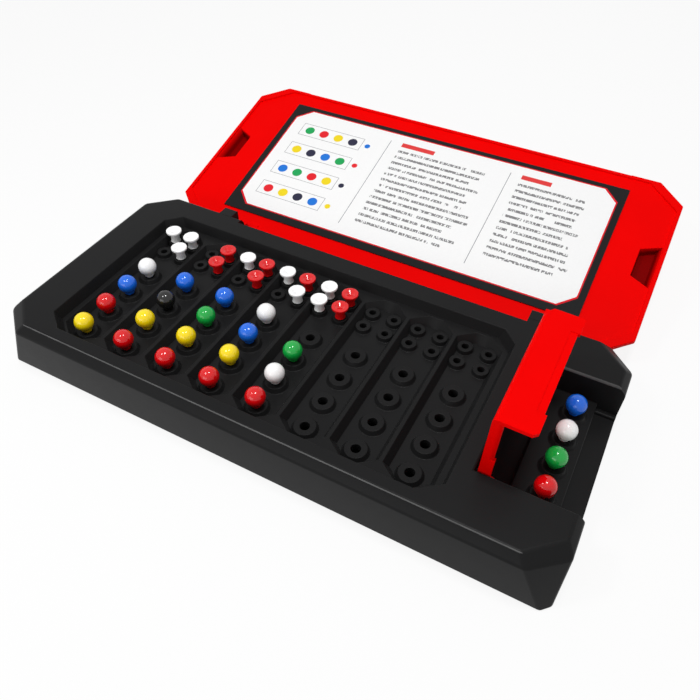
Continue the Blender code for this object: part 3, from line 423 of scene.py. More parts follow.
def moulded(name, colour, roughness, shine, grain=PLASTIC_GRAIN, depth=GRAIN_DEPTH):
    """Injection-moulded plastic with a fine grain, faint flow marks and uneven gloss."""
    recipe = Recipe(name, Specular_IOR_Level=shine)
    place = recipe.place()
    flow = recipe.noise(place, *FLOW_MARKS)
    fine = recipe.noise(place, grain, 2.0, 0.6)
    smear = recipe.noise(place, *SMEARS)
    recipe.fill(recipe.shader, {
        "Base Color": recipe.uneven(flow, colour, 0.10),
        "Roughness": roughness - 0.06 + smear * 0.08 + fine * 0.04,
        "Normal": recipe.bump(fine, GRAIN_STRENGTH, depth),
    })
    return recipe.material


def case_finish():
    """Black plastic with a fine grain, with a painted highlight in paler grey along the front edge and the
    channel's back lip.
    """
    recipe = Recipe("case_black_fine", Specular_IOR_Level=0.06)
    place = recipe.place()
    across, along, height = (recipe.along(place, axis) for axis in "XYZ")
    flow = recipe.noise(place, *FLOW_MARKS)
    fine = recipe.noise(place, PLASTIC_GRAIN, 2.0, 0.6)
    smear = recipe.noise(place, *SMEARS)
    # Painted highlight: the front top edge and the channel's back lip turn a paler grey, broken up by the
    # smears
    front = (along < TOP_FRONT + EDGE_ROUND * 0.25) * (height > HEIGHT - EDGE_ROUND * 0.36)
    lip = (along > CHANNEL_BACK - 0.0001) * (along < CHANNEL_BACK + CHANNEL_ROUND * 0.8)
    lip = lip * (height > HEIGHT - CHANNEL_ROUND * 0.85) * (height < HEIGHT - CHANNEL_ROUND * 0.05)
    painted_highlight = (front + lip * (across > CHANNEL_LEFT) * 0.7) * (0.40 + smear * 0.60)
    recipe.fill(recipe.shader, {
        "Base Color": recipe.mix(painted_highlight, recipe.uneven(flow, CASE_BLACK, 0.10), PAINTED_HIGHLIGHT_GREY),
        "Roughness": 0.30 + smear * 0.08 + fine * 0.04,
        "Normal": recipe.bump(fine, GRAIN_STRENGTH, GRAIN_DEPTH),
    })
    return recipe.material


def lid_plane(recipe, place):
    """Where a point lies in the lid's own plane."""
    shifted = recipe.add("Mapping", None, {"Vector": place, "Location": (0, -HINGE[0], -HINGE[1])})
    return recipe.add("Mapping", None, {"Vector": shifted, "Rotation": (-math.radians(TILT), 0, 0)})


def lid_finish():
    """The lid's red plastic, with painted shade deep in its finger pockets."""
    recipe = Recipe("lid_inner_fine", Specular_IOR_Level=0.02)
    place = recipe.place()
    height = recipe.along(lid_plane(recipe, place), "Z")
    flow = recipe.noise(place, *FLOW_MARKS)
    fine = recipe.noise(place, PLASTIC_GRAIN, 2.0, 0.6)
    # Painted shade: the red turns darker the deeper a point lies below the panel, in the finger pockets
    deep = recipe.maths("MINIMUM", (PANEL - 0.0002 - height) / 0.0030, 1.0)
    deep = recipe.maths("MAXIMUM", deep, 0.0) * 0.86
    recipe.fill(recipe.shader, {
        "Base Color": recipe.mix(deep, recipe.uneven(flow, LID_RED, 0.08), POCKET_PAINTED_SHADE),
        "Roughness": 0.40 + fine * 0.08,
        "Normal": recipe.bump(fine, GRAIN_STRENGTH, GRAIN_DEPTH),
    })
    return recipe.material


def steel():
    """Drawn steel with fine lines along the pin."""
    recipe = Recipe("steel_fine", Metallic=1.0)
    along = recipe.add("Mapping", None, {"Vector": recipe.place(), "Scale": (60.0, 4000.0, 4000.0)})
    lines = recipe.noise(along, 1.0, 3.0, 0.6)
    recipe.fill(recipe.shader, {
        "Base Color": recipe.mix(lines, (0.46, 0.46, 0.47, 1.0), (0.62, 0.62, 0.63, 1.0)),
        "Roughness": 0.24 + lines * 0.16,
        "Normal": recipe.bump(lines, 0.3, 0.00001),
    })
    return recipe.material


# Modelling by hand


def near(one, other):
    return abs(one - other) < NEAR


def take(piece):
    """Makes one piece the only one in hand."""
    bpy.ops.object.select_all(action="DESELECT")
    piece.select_set(True)
    bpy.context.view_layer.objects.active = piece


def open_up(piece):
    take(piece)
    bpy.ops.object.mode_set(mode="EDIT")


def close_up():
    bpy.ops.object.mode_set(mode="OBJECT")


def finish_faces():
    """Turns the open piece's faces outwards and closes it up."""
    bpy.ops.mesh.select_all(action="SELECT")
    bpy.ops.mesh.normals_make_consistent(inside=False)
    close_up()


def middle(part):
    """Where a vertex is, or the middle of an edge or a face."""
    if isinstance(part, bmesh.types.BMVert):
        return part.co
    return sum((v.co for v in part.verts), Vector()) / len(part.verts)


def choose(kind, test):
    """Selects the vertices, edges or faces of the open piece whose middle passes a test."""
    bpy.ops.mesh.select_all(action="DESELECT")
    bpy.ops.mesh.select_mode(type=kind)
    data = bpy.context.object.data
    mesh = bmesh.from_edit_mesh(data)
    parts = {"VERT": mesh.verts, "EDGE": mesh.edges, "FACE": mesh.faces}[kind]
    for part in [part for part in parts if test(middle(part))]:
        part.select_set(True)
    mesh.select_flush_mode()
    bmesh.update_edit_mesh(data)


def slide(test, move):
    """Moves the chosen vertices of the open piece."""
    choose("VERT", test)
    bpy.ops.transform.translate(value=move)


def round_edges(width, segments, test):
    """Rounds the chosen edges of the open piece."""
    choose("EDGE", test)
    bpy.ops.mesh.bevel(offset=width, segments=segments, affect="EDGES")


def raise_ring(before, after):
    """Extrudes the chosen end face from one ring's box to the next one's."""
    middle_before = ((before[0] + before[1]) / 2, (before[2] + before[3]) / 2, before[4])
    middle_after = ((after[0] + after[1]) / 2, (after[2] + after[3]) / 2, after[4])
    step = [b - a for a, b in zip(middle_before, middle_after)]
    bpy.ops.mesh.extrude_region_move(TRANSFORM_OT_translate={"value": step})
    wide = (after[1] - after[0]) / (before[1] - before[0])
    deep = (after[3] - after[2]) / (before[3] - before[2])
    if abs(wide - 1) > 1e-9 or abs(deep - 1) > 1e-9:
        bpy.ops.transform.resize(value=(wide, deep, 1), center_override=middle_after)


def stack(name, rings, front_cut=None, back_cut=None):
    """A body raised ring by ring from an oblong with cut corners; a ring is a box and a height."""
    left, right, front, back, low = rings[0]
    bpy.ops.object.select_all(action="DESELECT")
    bpy.ops.mesh.primitive_plane_add(size=1, location=((left + right) / 2, (front + back) / 2, low))
    piece = bpy.context.object
    piece.name = name
    piece.scale = (right - left, back - front, 1)
    bpy.ops.object.transform_apply(location=True, rotation=True, scale=True)
    bpy.ops.object.mode_set(mode="EDIT")
    for cut, edge, way in ((front_cut, front, -1), (back_cut, back, 1)):
        for end, side in ((left, -1), (right, 1)) if cut else ():
            bpy.ops.mesh.select_all(action="SELECT")
            place = (end - side * cut[0], edge, low)
            facing = Vector((side / cut[0], way / cut[1], 0)).normalized()
            bpy.ops.mesh.bisect(plane_co=place, plane_no=facing, clear_outer=True)
    bpy.ops.mesh.select_mode(type="FACE")
    bpy.ops.mesh.select_all(action="SELECT")
    for before, after in zip(rings, rings[1:]):
        raise_ring(before, after)
    finish_faces()
    return piece


def grown(ring, grow, height):
    """A ring that is wider on every side, at another height."""
    return (ring[0] - grow, ring[1] + grow, ring[2] - grow, ring[3] + grow, height)


def flared(ring, radius, rise=PAST):
    """Rings that round a mouth's edge outwards, ending a little above it."""
    rings = []
    for angle in (0, 30, 60, 90):
        turn = math.radians(angle)
        rings.append(grown(ring, radius * (1 - math.cos(turn)), ring[4] - radius * (1 - math.sin(turn))))
    return rings + [grown(ring, radius, ring[4] + rise)]


def block(left, right, front, back, low, high):
    """A plain block, to cut with or to weld on."""
    return stack("block", [(left, right, front, back, low), (left, right, front, back, high)])


def turned(name, profile, sides=40, place=(0, 0, 0), axis="Z"):
    """A body raised from a round, ring by ring; the profile is radius and height pairs."""
    bpy.ops.object.select_all(action="DESELECT")
    bpy.ops.mesh.primitive_circle_add(
        vertices=sides, radius=profile[0][0], fill_type="NGON", location=(0, 0, profile[0][1])
    )
    piece = bpy.context.object
    piece.name = name
    bpy.ops.object.transform_apply(location=True, rotation=True, scale=True)
    bpy.ops.object.mode_set(mode="EDIT")
    bpy.ops.mesh.select_mode(type="FACE")
    bpy.ops.mesh.select_all(action="SELECT")
    for (radius, height), (wider, higher) in zip(profile, profile[1:]):
        bpy.ops.mesh.extrude_region_move(TRANSFORM_OT_translate={"value": (0, 0, higher - height)})
        if wider:
            share = wider / radius
            bpy.ops.transform.resize(value=(share, share, 1), center_override=(0, 0, higher))
        else:
            bpy.ops.mesh.merge(type="CENTER")
    finish_faces()
    if axis == "X":
        piece.rotation_euler = (0, math.pi / 2, 0)
    if axis == "Y":
        piece.rotation_euler = (-math.pi / 2, 0, 0)
    piece.location = place
    settle(piece)
    return piece


def rod(radius, length, sides, place, axis):
    """A plain round rod, to cut with or to weld on."""
    return turned("rod", [(radius, 0), (radius, length)], sides, place, axis)


def settle(piece):
    """Puts a piece's place and turn into its mesh."""
    take(piece)
    bpy.ops.object.transform_apply(location=True, rotation=True, scale=True)


def copied(model, move):
    """A copy of a piece with its own mesh, moved in that mesh."""
    piece = model.copy()
    piece.data = model.data.copy()
    piece.data.transform(Matrix.Translation(move))
    bpy.context.scene.collection.objects.link(piece)
    return piece


def copies(model, moves):
    """One piece repeated at each move, all in one mesh."""
    made = [copied(model, move) for move in moves]
    bpy.data.objects.remove(model)
    take(made[0])
    for other in made:
        other.select_set(True)
    bpy.ops.object.join()
    return bpy.context.object


def worked(piece, kind, **settings):
    """Adds a modifier to a piece and applies it."""
    take(piece)
    modifier = piece.modifiers.new(kind.lower(), kind)
    for key, value in settings.items():
        setattr(modifier, key, value)
    bpy.ops.object.modifier_apply(modifier=modifier.name)


def carve(piece, cutter):
    """Cuts one piece out of another."""
    worked(piece, "BOOLEAN", operation="DIFFERENCE", object=cutter, solver="EXACT")
    bpy.data.objects.remove(cutter)


def weld(piece, other):
    """Makes two pieces one."""
    worked(piece, "BOOLEAN", operation="UNION", object=other, solver="EXACT")
    bpy.data.objects.remove(other)


def soften(piece, width, segments, angle):
    """Rounds a piece's edges."""
    worked(
        piece, "BEVEL", width=width, segments=segments, limit_method="ANGLE",
        angle_limit=math.radians(angle), use_clamp_overlap=True,
    )


def polish(piece, angle=38):
    """Smooth rounds that leave the flats flat."""
    take(piece)
    bpy.ops.object.shade_smooth_by_angle(angle=math.radians(angle))
    worked(piece, "WEIGHTED_NORMAL", mode="FACE_AREA", weight=50, keep_sharp=True)


def hand_over(piece, name, finish, slot, body, *nodes):
    """Names a finished piece and puts it on its body in place of its solids."""
    piece.name = name
    piece.data.name = name
    piece.data.materials.clear()
    piece.data.materials.append(finish)
    for face in piece.data.polygons:
        face.material_index = 0
    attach(piece, body)
    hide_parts(*nodes)


# Case


def bay_ring(height, wider=0.0):
    """The first bay's box at one height; its walls slope in towards the floor."""
    fall = (RECESS - height) / (RECESS - BAY_FLOOR)
    half = BAY_HALF - fall * BAY_SIDE_SLOPE + wider
    front = BAY_FRONT + fall * BAY_FRONT_SLOPE - wider
    back = BAY_BACK - fall * BAY_BACK_SLOPE + wider
    return (FIRST_BAY - half, FIRST_BAY + half, front, back, height)


def recess_ring(height, wider=0.0):
    """The recess' box at one height; its walls lean in towards its floor."""
    lean = (HEIGHT - height) / (HEIGHT - RECESS) * RECESS_DRAFT - wider
    return grown(RECESS_BOX, -lean, height)


def every_bay(piece):
    return copies(piece, [(bay * PITCH, 0, 0) for bay in range(BAYS)])


def case_block():
    """The case's outside, with its corners that widen upwards and the bevel round its top."""
    side = LENGTH / 2
    wide = DEPTH / 2
    foot = (-side, side, -wide, wide, 0)
    shoulder = grown(foot, 0, SHOULDER)
    piece = stack("case_block", [foot, shoulder], (FOOT_CUT, FOOT_CUT), (FOOT_CUT, FOOT_CUT))

    def at_shoulder(c):
        return c.z > SHOULDER - NEAR

    def on_top(c):
        return c.z > HEIGHT - NEAR

    def on_end(c):
        return near(abs(c.x), TOP_SIDE)

    open_up(piece)
    for end in (-1, 1):
        corner_x = end * (side - FOOT_CUT)
        corner_y = end * (wide - FOOT_CUT)
        slide(lambda c: at_shoulder(c) and near(c.x, corner_x) and c.y < 0, (-end * FRONT_WIDENING, 0, 0))
        slide(lambda c: at_shoulder(c) and near(c.x, corner_x) and c.y > 0, (-end * BACK_WIDENING, 0, 0))
        slide(lambda c: at_shoulder(c) and near(c.y, corner_y), (0, -end * SIDE_WIDENING, 0))
    choose("FACE", at_shoulder)
    raise_ring(shoulder, (-TOP_SIDE, TOP_SIDE, TOP_FRONT, TOP_BACK, HEIGHT))
    for end in (-1, 1):
        slide(lambda c: on_top(c) and near(c.y, TOP_BACK) and c.x * end > 0, (-end * TOP_BACK_TRIM, 0, 0))
    for end in (-1, 1):
        slide(lambda c: on_top(c) and on_end(c) and c.y * end > 0, (0, -end * TOP_SIDE_TRIM, 0))
    finish_faces()
    soften(piece, EDGE_ROUND, 3, 12)
    return piece


def case_hollow():
    """The room under the top, less the tubs, blocks and posts that hang in it."""
    side, wide = ROOM_FOOT
    top_side, top_wide = ROOM_TOP
    foot = (-side, side, -wide, wide, -PAST)
    rings = [foot, grown(foot, 0, ROOM_STRAIGHT), (-top_side, top_side, -top_wide, top_wide, CEILING)]
    hollow = stack("hollow", rings, ROOM_CUT, ROOM_CUT)

    def on_ceiling(c):
        return c.z > CEILING - NEAR

    open_up(hollow)
    for end in (-1, 1):
        slide(lambda c: on_ceiling(c) and 0 < c.x * end < top_side - NEAR, (-end * ROOM_WIDENING[0], 0, 0))
        slide(lambda c: on_ceiling(c) and 0 < c.y * end < top_wide - NEAR, (0, -end * ROOM_WIDENING[1], 0))
    close_up()
    rings = [recess_ring(RECESS - TUB_SKIN, TUB_SKIN), recess_ring(ABOVE_CEILING, TUB_SKIN)]
    carve(hollow, stack("tub", rings, *RECESS_CUTS))
    rings = [bay_ring(BAY_FLOOR - TUB_SKIN, TUB_SKIN), bay_ring(BAY_TUB_TOP, TUB_SKIN)]
    carve(hollow, every_bay(stack("tubs", rings, *BAY_CUTS)))
    front = CHANNEL_FRONT - CHANNEL_SKIN
    back = CHANNEL_BACK + CHANNEL_SKIN
    low = STRIP_FLOOR - CHANNEL_SKIN
    carve(hollow, block(CHANNEL_LEFT - CHANNEL_SKIN, CHANNEL_TUB_END, front, back, low, ABOVE_CEILING))
    for lug in LUGS:
        carve(hollow, block(lug, lug + LUG_BLOCK[0], *LUG_BLOCK[1:], ABOVE_CEILING))
    profile = [(POST_RADIUS, POST_LOW), (POST_RADIUS, ABOVE_CEILING)]
    post = turned("post", profile, 32, (-SCREW_X, -SCREW_Y, 0))
    carve(hollow, copies(post, [(x, y, 0) for x in (0, 2 * SCREW_X) for y in (0, 2 * SCREW_Y)]))
    return hollow


def hood(lug):
    """One hinge hood: flat on top, round below, with its edges eased."""
    back = HINGE[0] + LUG_RADIUS
    low = HINGE[1] - LUG_RADIUS
    piece = block(lug, lug + LUG_WIDTH, LUG_FRONT, back, low, HEIGHT)
    open_up(piece)
    round_edges(LUG_RADIUS, 8, lambda c: c.y > back - NEAR and c.z < low + NEAR)
    round_edges(EDGE_EASE, 3, lambda c: c.y > back - NEAR and c.z > HEIGHT - NEAR)
    close_up()
    return piece


def slot_end(lug):
    """The right end of the slot in which an ear of the lid turns."""
    return lug + LUG_WIDTH + EAR_WIDTH + 2 * GAP


def channel_room():
    """The channel's room: over the platform, and down the strip on each side of it."""
    ring = (CHANNEL_LEFT, CHANNEL_RIGHT, CHANNEL_FRONT, CHANNEL_BACK, PLATFORM_TOP)
    room = stack("room", [ring, *flared(grown(ring, 0, HEIGHT), CHANNEL_ROUND)])
    for left, right, inner, way, ease in (
        (CHANNEL_LEFT, PLATFORM_LEFT, PLATFORM_LEFT, 1, PLATFORM_EASE),
        (PLATFORM_RIGHT, CHANNEL_RIGHT, PLATFORM_RIGHT, -1, MOUTH_ROUND),
    ):
        strip = (left, right, CHANNEL_FRONT, CHANNEL_BACK, STRIP_FLOOR)
        cutter = stack("strip", [strip, grown(strip, 0, PLATFORM_TOP - ease), grown(strip, 0, STRIP_TOP)])
        open_up(cutter)
        slide(lambda c: near(c.z, STRIP_TOP) and near(c.x, inner), (way * (PLATFORM_SLOPE + ease), 0, 0))
        close_up()
        weld(room, cutter)
    return room


def back_step():
    """The step that is cut from the top's back edge between the hinges, with a sloping front."""
    front = STEP[0]
    low = STEP[2]
    piece = block(slot_end(LUGS[0]), LUGS[1], *STEP)
    open_up(piece)
    slide(lambda c: near(c.y, front) and near(c.z, low), (0, STEP_SLOPE, 0))
    close_up()
    return piece


def ledge():
    """A low ledge at the channel's back, by its open end, with its front edge eased."""
    piece = block(*LEDGE)
    open_up(piece)
    round_edges(EDGE_EASE, 4, lambda c: near(c.y, LEDGE[2]) and near(c.z, LEDGE[5]))
    close_up()
    return piece


def boss(floor, foot, top):
    """A tapered ring's outside, with a fillet at its foot and a rounded rim."""
    profile = [
        (foot + 0.0004, floor - 0.0005),
        (foot + 0.0004, floor),
        (foot + 0.0001, floor + 0.00012),
        (foot - 0.0001, floor + 0.00035),
        (top + 0.00012, floor + BOSS - 0.0003),
        (top, floor + BOSS - 0.0001),
        (top - 0.0002, floor + BOSS),
    ]
    return turned("boss", profile, 40)


def hole(floor, low, radius):
    """A round hole's cutter, with an eased mouth at a boss's top."""
    mouth = floor + BOSS
    profile = [
        (radius, low),
        (radius, mouth - 0.0003),
        (radius + 0.0001, mouth - 0.0001),
        (radius + 0.0003, mouth),
        (radius + 0.0003, mouth + PAST),
    ]
    return turned("hole", profile, 32)


def make_case():
    """The black top moulding in one piece."""
    case = case_block()
    carve(case, case_hollow())
    for lug in LUGS:
        weld(case, hood(lug))
    rings = [recess_ring(RECESS), *flared(recess_ring(HEIGHT), MOUTH_ROUND)]
    carve(case, stack("recess", rings, *RECESS_CUTS))
    rings = [bay_ring(BAY_FLOOR), *flared(bay_ring(RECESS), BAY_ROUND, 0.0006)]
    carve(case, every_bay(stack("bay", rings, *BAY_CUTS)))
    carve(case, channel_room())
    carve(case, back_step())
    weld(case, ledge())
    xs = [FIRST_BAY + bay * PITCH for bay in range(BAYS)]
    code = [(x, y, 0) for x in xs for y in CODE_YS]
    key = [(x + dx, y, 0) for x in xs for dx in (-KEY_X, KEY_X) for y in KEY_YS]
    secret = [(SECRET_X, y, 0) for y in SECRET_YS]
    weld(case, copies(boss(BAY_FLOOR, *CODE_BOSS), code))
    weld(case, copies(boss(BAY_FLOOR, *KEY_BOSS), key))
    weld(case, copies(boss(PLATFORM_TOP, *CODE_BOSS), secret))
    carve(case, copies(hole(BAY_FLOOR, BAY_HOLE_LOW, CODE_HOLE), code))
    carve(case, copies(hole(BAY_FLOOR, BAY_HOLE_LOW, KEY_HOLE), key))
    carve(case, copies(hole(PLATFORM_TOP, SECRET_HOLE_LOW, CODE_HOLE), secret))
    for lug in LUGS:
        carve(case, block(lug + LUG_WIDTH, slot_end(lug), *EAR_SLOT))
        carve(case, rod(PIN_BORE, LUG_WIDTH + 2 * PAST, 24, (lug - PAST, *HINGE), "X"))
    for start in SHIELD_BORES:
        carve(case, rod(*SHIELD_BORE, 24, (SHIELD_AXIS[0], start, SHIELD_AXIS[1]), "Y"))
    polish(case)
    return case


# Lid


def lid_ring(grow, height):
    """The lid's outline in its own plane, grown by a little."""
    return (-LID_HALF - grow, LID_HALF + grow, LID_FRONT - grow, LID_BACK + grow, height)


def swing(piece):
    """Takes a piece from the lid's own plane to its place on the hinge."""
    piece.rotation_euler = (math.radians(TILT), 0, 0)
    piece.location = (0, *HINGE)
    settle(piece)


def latch_mark():
    """The shallow recess in the lid's far edge, where it would snap shut."""
    return block(-LATCH_HALF, LATCH_HALF, LID_BACK - LATCH_DEPTH, LID_BACK + PAST, *LATCH_SPAN)


def pocket_form(side, wider, top, floor):
    """One finger pocket's room, wider towards the lid's edge and a little smaller at its floor."""
    outer = side * (LID_HALF - LIP + wider)
    inner = side * (LID_HALF - LIP + wider - POCKET_WIDTH - 2 * wider)
    half = POCKET_HALF + wider
    ring = (min(inner, outer), max(inner, outer), POCKET_CENTRE - half, POCKET_CENTRE + half, floor)
    piece = stack("pocket", [ring, grown(ring, 0, top)])
    open_up(piece)
    for way in (-1, 1):
        def this_end(c):
            return (c.y - POCKET_CENTRE) * way > 0
        slide(lambda c: near(c.x, inner) and this_end(c), (0, -way * POCKET_TAPER, 0))
        slide(lambda c: near(c.z, floor) and this_end(c), (0, -way * POCKET_DRAFT, 0))
    slide(lambda c: near(c.z, floor) and near(c.x, inner), (side * POCKET_DRAFT, 0, 0))
    slide(lambda c: near(c.z, floor) and near(c.x, outer), (-side * POCKET_LEAN, 0, 0))
    close_up()
    return piece


def ear(lug):
    """One arm that rises from the lid's front edge to the hinge pin."""
    left = lug + LUG_WIDTH + GAP
    right = left + EAR_WIDTH
    arm = block(left, right, -EAR_RADIUS, EAR_RADIUS, EAR_LOW, 0.0)
    eye = rod(EAR_RADIUS, EAR_WIDTH, 40, (left, 0, 0), "X")
    foot = block(left, right, 0.0, EAR_FOOT, EAR_LOW, EAR_FOOT_TOP)
    weld(arm, eye)
    weld(arm, foot)
    return arm


def make_lid():
    """The lid's inner moulding: a panel in a low lip, with two finger pockets and two ears."""
    lid = stack("lid", [lid_ring(0, LID_UNDER), lid_ring(0, RIM)], LID_CUT, LID_CUT)
    soften(lid, LID_ROUND, 3, 20)
    floor = PANEL - POCKET_DEPTH
    for side in (-1, 1):
        weld(lid, pocket_form(side, POCKET_SKIN, PANEL - POCKET_OVERLAP, floor - POCKET_SKIN))
    field = lid_ring(-LIP, PANEL)
    rings = [field, *flared(grown(field, 0, RIM), FIELD_ROUND)]
    carve(lid, stack("field", rings, FIELD_CUT, FIELD_CUT))
    for side in (-1, 1):
        carve(lid, pocket_form(side, 0, PANEL + POCKET_OVERLAP, floor))
    carve(lid, latch_mark())
    for lug in LUGS:
        weld(lid, ear(lug))
        left = lug + LUG_WIDTH + GAP
        carve(lid, rod(PIN_BORE, EAR_WIDTH + 2 * PAST, 24, (left - PAST, 0, 0), "X"))
    swing(lid)
    polish(lid)
    return lid


def make_lid_back():
    """The lid's outer moulding, a shallow bevelled tray."""
    rings = [lid_ring(-TRAY_BEVEL, TRAY_LOW), lid_ring(0, TRAY_LOW + TRAY_BEVEL), lid_ring(0, TRAY_TOP)]
    cover = stack("cover", rings, LID_CUT, LID_CUT)
    soften(cover, LID_ROUND, 3, 20)
    inside = TRAY_LOW + TRAY_SKIN
    rings = [
        lid_ring(-TRAY_BEVEL - TRAY_SKIN, inside),
        lid_ring(-TRAY_SKIN, inside + TRAY_BEVEL),
        lid_ring(-TRAY_SKIN, TRAY_TOP + PAST),
    ]
    carve(cover, stack("hollow", rings, LID_CUT, LID_CUT))
    for side in (-1, 1):
        carve(cover, pocket_form(side, POCKET_SKIN + GAP, TRAY_TOP + PAST, TRAY_LOW - PAST))
    carve(cover, latch_mark())
    swing(cover)
    polish(cover)
    return cover


def make_card():
    """The printed card on the lid's panel."""
    low = PANEL + GAP
    card = stack("card", [(*CARD, low), (*CARD, low + CARD_THICKNESS)])
    swing(card)
    polish(card)
    return card


def card_finish():
    """A printed card: a black border round a white field, with plain bars and dots for its print."""
    recipe = Recipe("card_print_fine")
    place = recipe.place()
    flat = lid_plane(recipe, place)
    across = recipe.along(flat, "X")
    along = recipe.along(flat, "Y")

    def between(value, low, high):
        return (value > low) * (value < high)

    def size(value):
        return recipe.maths("ABSOLUTE", value)

    def field(grow):
        """Inside the cut-cornered field, grown by a little."""
        wide = PRINT_HALF[0] + grow
        deep = PRINT_HALF[1] + grow
        side = size(across - PRINT_MIDDLE[0])
        rise = size(along - PRINT_MIDDLE[1])
        corner = (side - (wide - PRINT_CUT[0])) / PRINT_CUT[0] + (rise - (deep - PRINT_CUT[1])) / PRINT_CUT[1]
        return (side < wide) * (rise < deep) * (corner < 1.0)

    def bars(left, right, front, rows, seed):
        """Rows of short grey bars, ragged at their right ends."""
        height = (along - front) / BAR_PITCH
        row = recipe.maths("FLOOR", height)
        gaps = recipe.flat_noise(across * 330.0, row * 7.31 + seed, 1.0)
        marks = recipe.flat_noise(across * 1500.0, height * 3.1 + seed, 0.0)
        ragged = recipe.add("TexWhiteNoise", {"noise_dimensions": "1D"}, {"W": row + seed}, "Value")
        inside = (across > left) * (across < right - ragged * (right - left) * 0.22)
        in_row = between(height, 0.0, rows) * between(height - row, 0.30, 0.68)
        return inside * in_row * (gaps > 0.34) * (marks > 0.38)

    def oblong(left, right, front, back):
        return between(across, left, right) * between(along, front, back)

    def both(kind, items):
        """What two like things cover together."""
        return kind(*items[0]) + kind(*items[1])

    column = (across - DOTS_START[0]) / DOTS_PITCH[0]
    row = (along - DOTS_START[1]) / DOTS_PITCH[1]
    cell = recipe.maths("FLOOR", column)
    line = recipe.maths("FLOOR", row)
    off_x = (column - cell - 0.5) * DOTS_PITCH[0]
    off_y = (row - line - 0.5) * DOTS_PITCH[1]
    reach = recipe.maths("SQRT", off_x * off_x + off_y * off_y)
    in_rows = between(row, 0.0, DOT_ROWS)
    is_last = between(cell, DOT_COLUMNS - 1.5, DOT_COLUMNS - 0.5)
    radius = recipe.maths("MULTIPLY_ADD", is_last, -LAST_DOT_LESS, DOT_RADIUS)
    dots = between(column, 0.0, DOT_COLUMNS) * in_rows * (reach < radius)
    pick = recipe.maths("FRACT", cell * 0.37 + line * 0.23 + 0.11)
    tints = recipe.add("ValToRGB", {"stops": DOT_TINTS}, {"Fac": pick})
    frame_x = size(across - FRAME_MIDDLE)
    frame_y = size(off_y)
    filled = (frame_x < FRAME_HALF[0]) * (frame_y < FRAME_HALF[1])
    empty = (frame_x < FRAME_INSIDE[0]) * (frame_y < FRAME_INSIDE[1])
    lines = both(oblong, RULES) + (filled - empty) * in_rows
    fine = recipe.noise(place, 900.0, 3.0, 0.6)
    paper = recipe.mix(fine, (0.86, 0.86, 0.86, 1.0), (0.92, 0.92, 0.92, 1.0))
    printed = recipe.mix(both(bars, BAR_BLOCKS) * 0.80, paper, (0.05, 0.05, 0.055, 1.0))
    printed = recipe.mix(lines, printed, (0.25, 0.25, 0.27, 1.0))
    printed = recipe.mix(both(oblong, TABS), printed, (0.72, 0.05, 0.05, 1.0))
    printed = recipe.mix(dots, printed, tints)
    border = recipe.mix(fine, (0.007, 0.007, 0.0075, 1.0), (0.012, 0.012, 0.0125, 1.0))
    border = recipe.mix(field(PRINT_LINE), border, (0.70, 0.01, 0.02, 1.0))
    recipe.fill(recipe.shader, {
        "Base Color": recipe.mix(field(0.0), border, printed),
        "Roughness": 0.36 + fine * 0.10,
        "Normal": recipe.bump(fine, 0.2, 0.000008),
        "Specular IOR Level": 0.08,
    })
    return recipe.material


# Shield


def make_shield():
    """The red shield: a thin wall with end plates, a roof with a grip, and pins at its foot."""
    front, back = SHIELD_ENDS
    shield = block(WALL_LEFT, ROOF_END, front, back, 0, ROOF_TOP)
    open_up(shield)
    round_edges(ROOF_ROUND, 6, lambda c: near(c.x, WALL_LEFT) and near(c.z, ROOF_TOP))
    close_up()
    carve(shield, block(WALL_RIGHT, BEYOND_SHIELD, front + FRONT_PLATE, back - BACK_PLATE, -PAST, ROOF_UNDER))
    carve(shield, block(STRIP_EDGE, BEYOND_SHIELD, front - PAST, back + PAST, STRIP_LOW, ROOF_UNDER))
    carve(shield, block(FOOT_EDGE, BEYOND_SHIELD, front - PAST, back + PAST, -PAST, FOOT_TOP))
    middle_x = STRIP_EDGE - STRIP_ROUND
    round_off = block(middle_x, STRIP_EDGE + PAST, front - PAST, front + STRIP_ROUND, STRIP_LOW, ROOF_UNDER)
    profile = [(STRIP_ROUND, STRIP_LOW - PAST), (STRIP_ROUND, ROOF_UNDER + PAST)]
    carve(round_off, turned("round", profile, 48, (middle_x, front + STRIP_ROUND, 0)))
    carve(shield, round_off)
    # The roof's corners, how far each is cut along x and y, and how low the cut reaches
    for x, y, cut_x, cut_y, low in (
        (ROOF_END, front, 0.0018, -0.0018, 0.0368),
        (ROOF_END, back, 0.0012, 0.0012, 0.0368),
        (WALL_LEFT, back, -0.0033, 0.0045, 0.0374),
    ):
        wedge = block(x - WEDGE_REACH, x + WEDGE_REACH, y - WEDGE_REACH, y + WEDGE_REACH, low, ABOVE_ROOF)
        open_up(wedge)
        bpy.ops.mesh.select_all(action="SELECT")
        facing = Vector((1 / cut_x, 1 / cut_y, 0)).normalized()
        bpy.ops.mesh.bisect(plane_co=(x - cut_x, y, 0), plane_no=facing, use_fill=True, clear_inner=True)
        close_up()
        carve(shield, wedge)
    grip = (front + GRIP_ENDS[0], back - GRIP_ENDS[1])
    carve(shield, block(ROOF_END - GRIP_SIDE, BEYOND_ROOF, *grip, GRIP_FLOOR, ABOVE_ROOF))
    carve(shield, block(ROOF_END - GRIP_NOTCH, BEYOND_ROOF, *grip, NOTCH_LOW, ABOVE_ROOF))
    soften(shield, 0.0007, 4, 34)
    for start in (front, back - BACK_PLATE):
        weld(shield, rod(FOOT_RADIUS, BACK_PLATE, 40, (0, start, 0), "Y"))
    for start, length in SHIELD_PINS:
        weld(shield, rod(SHIELD_PIN, length, 24, (0, start, 0), "Y"))
    shield.rotation_euler = (0, math.radians(SHIELD_LEAN), 0)
    shield.location = (SHIELD_AXIS[0], 0, SHIELD_AXIS[1])
    settle(shield)
    polish(shield)
    return shield


# Pegs


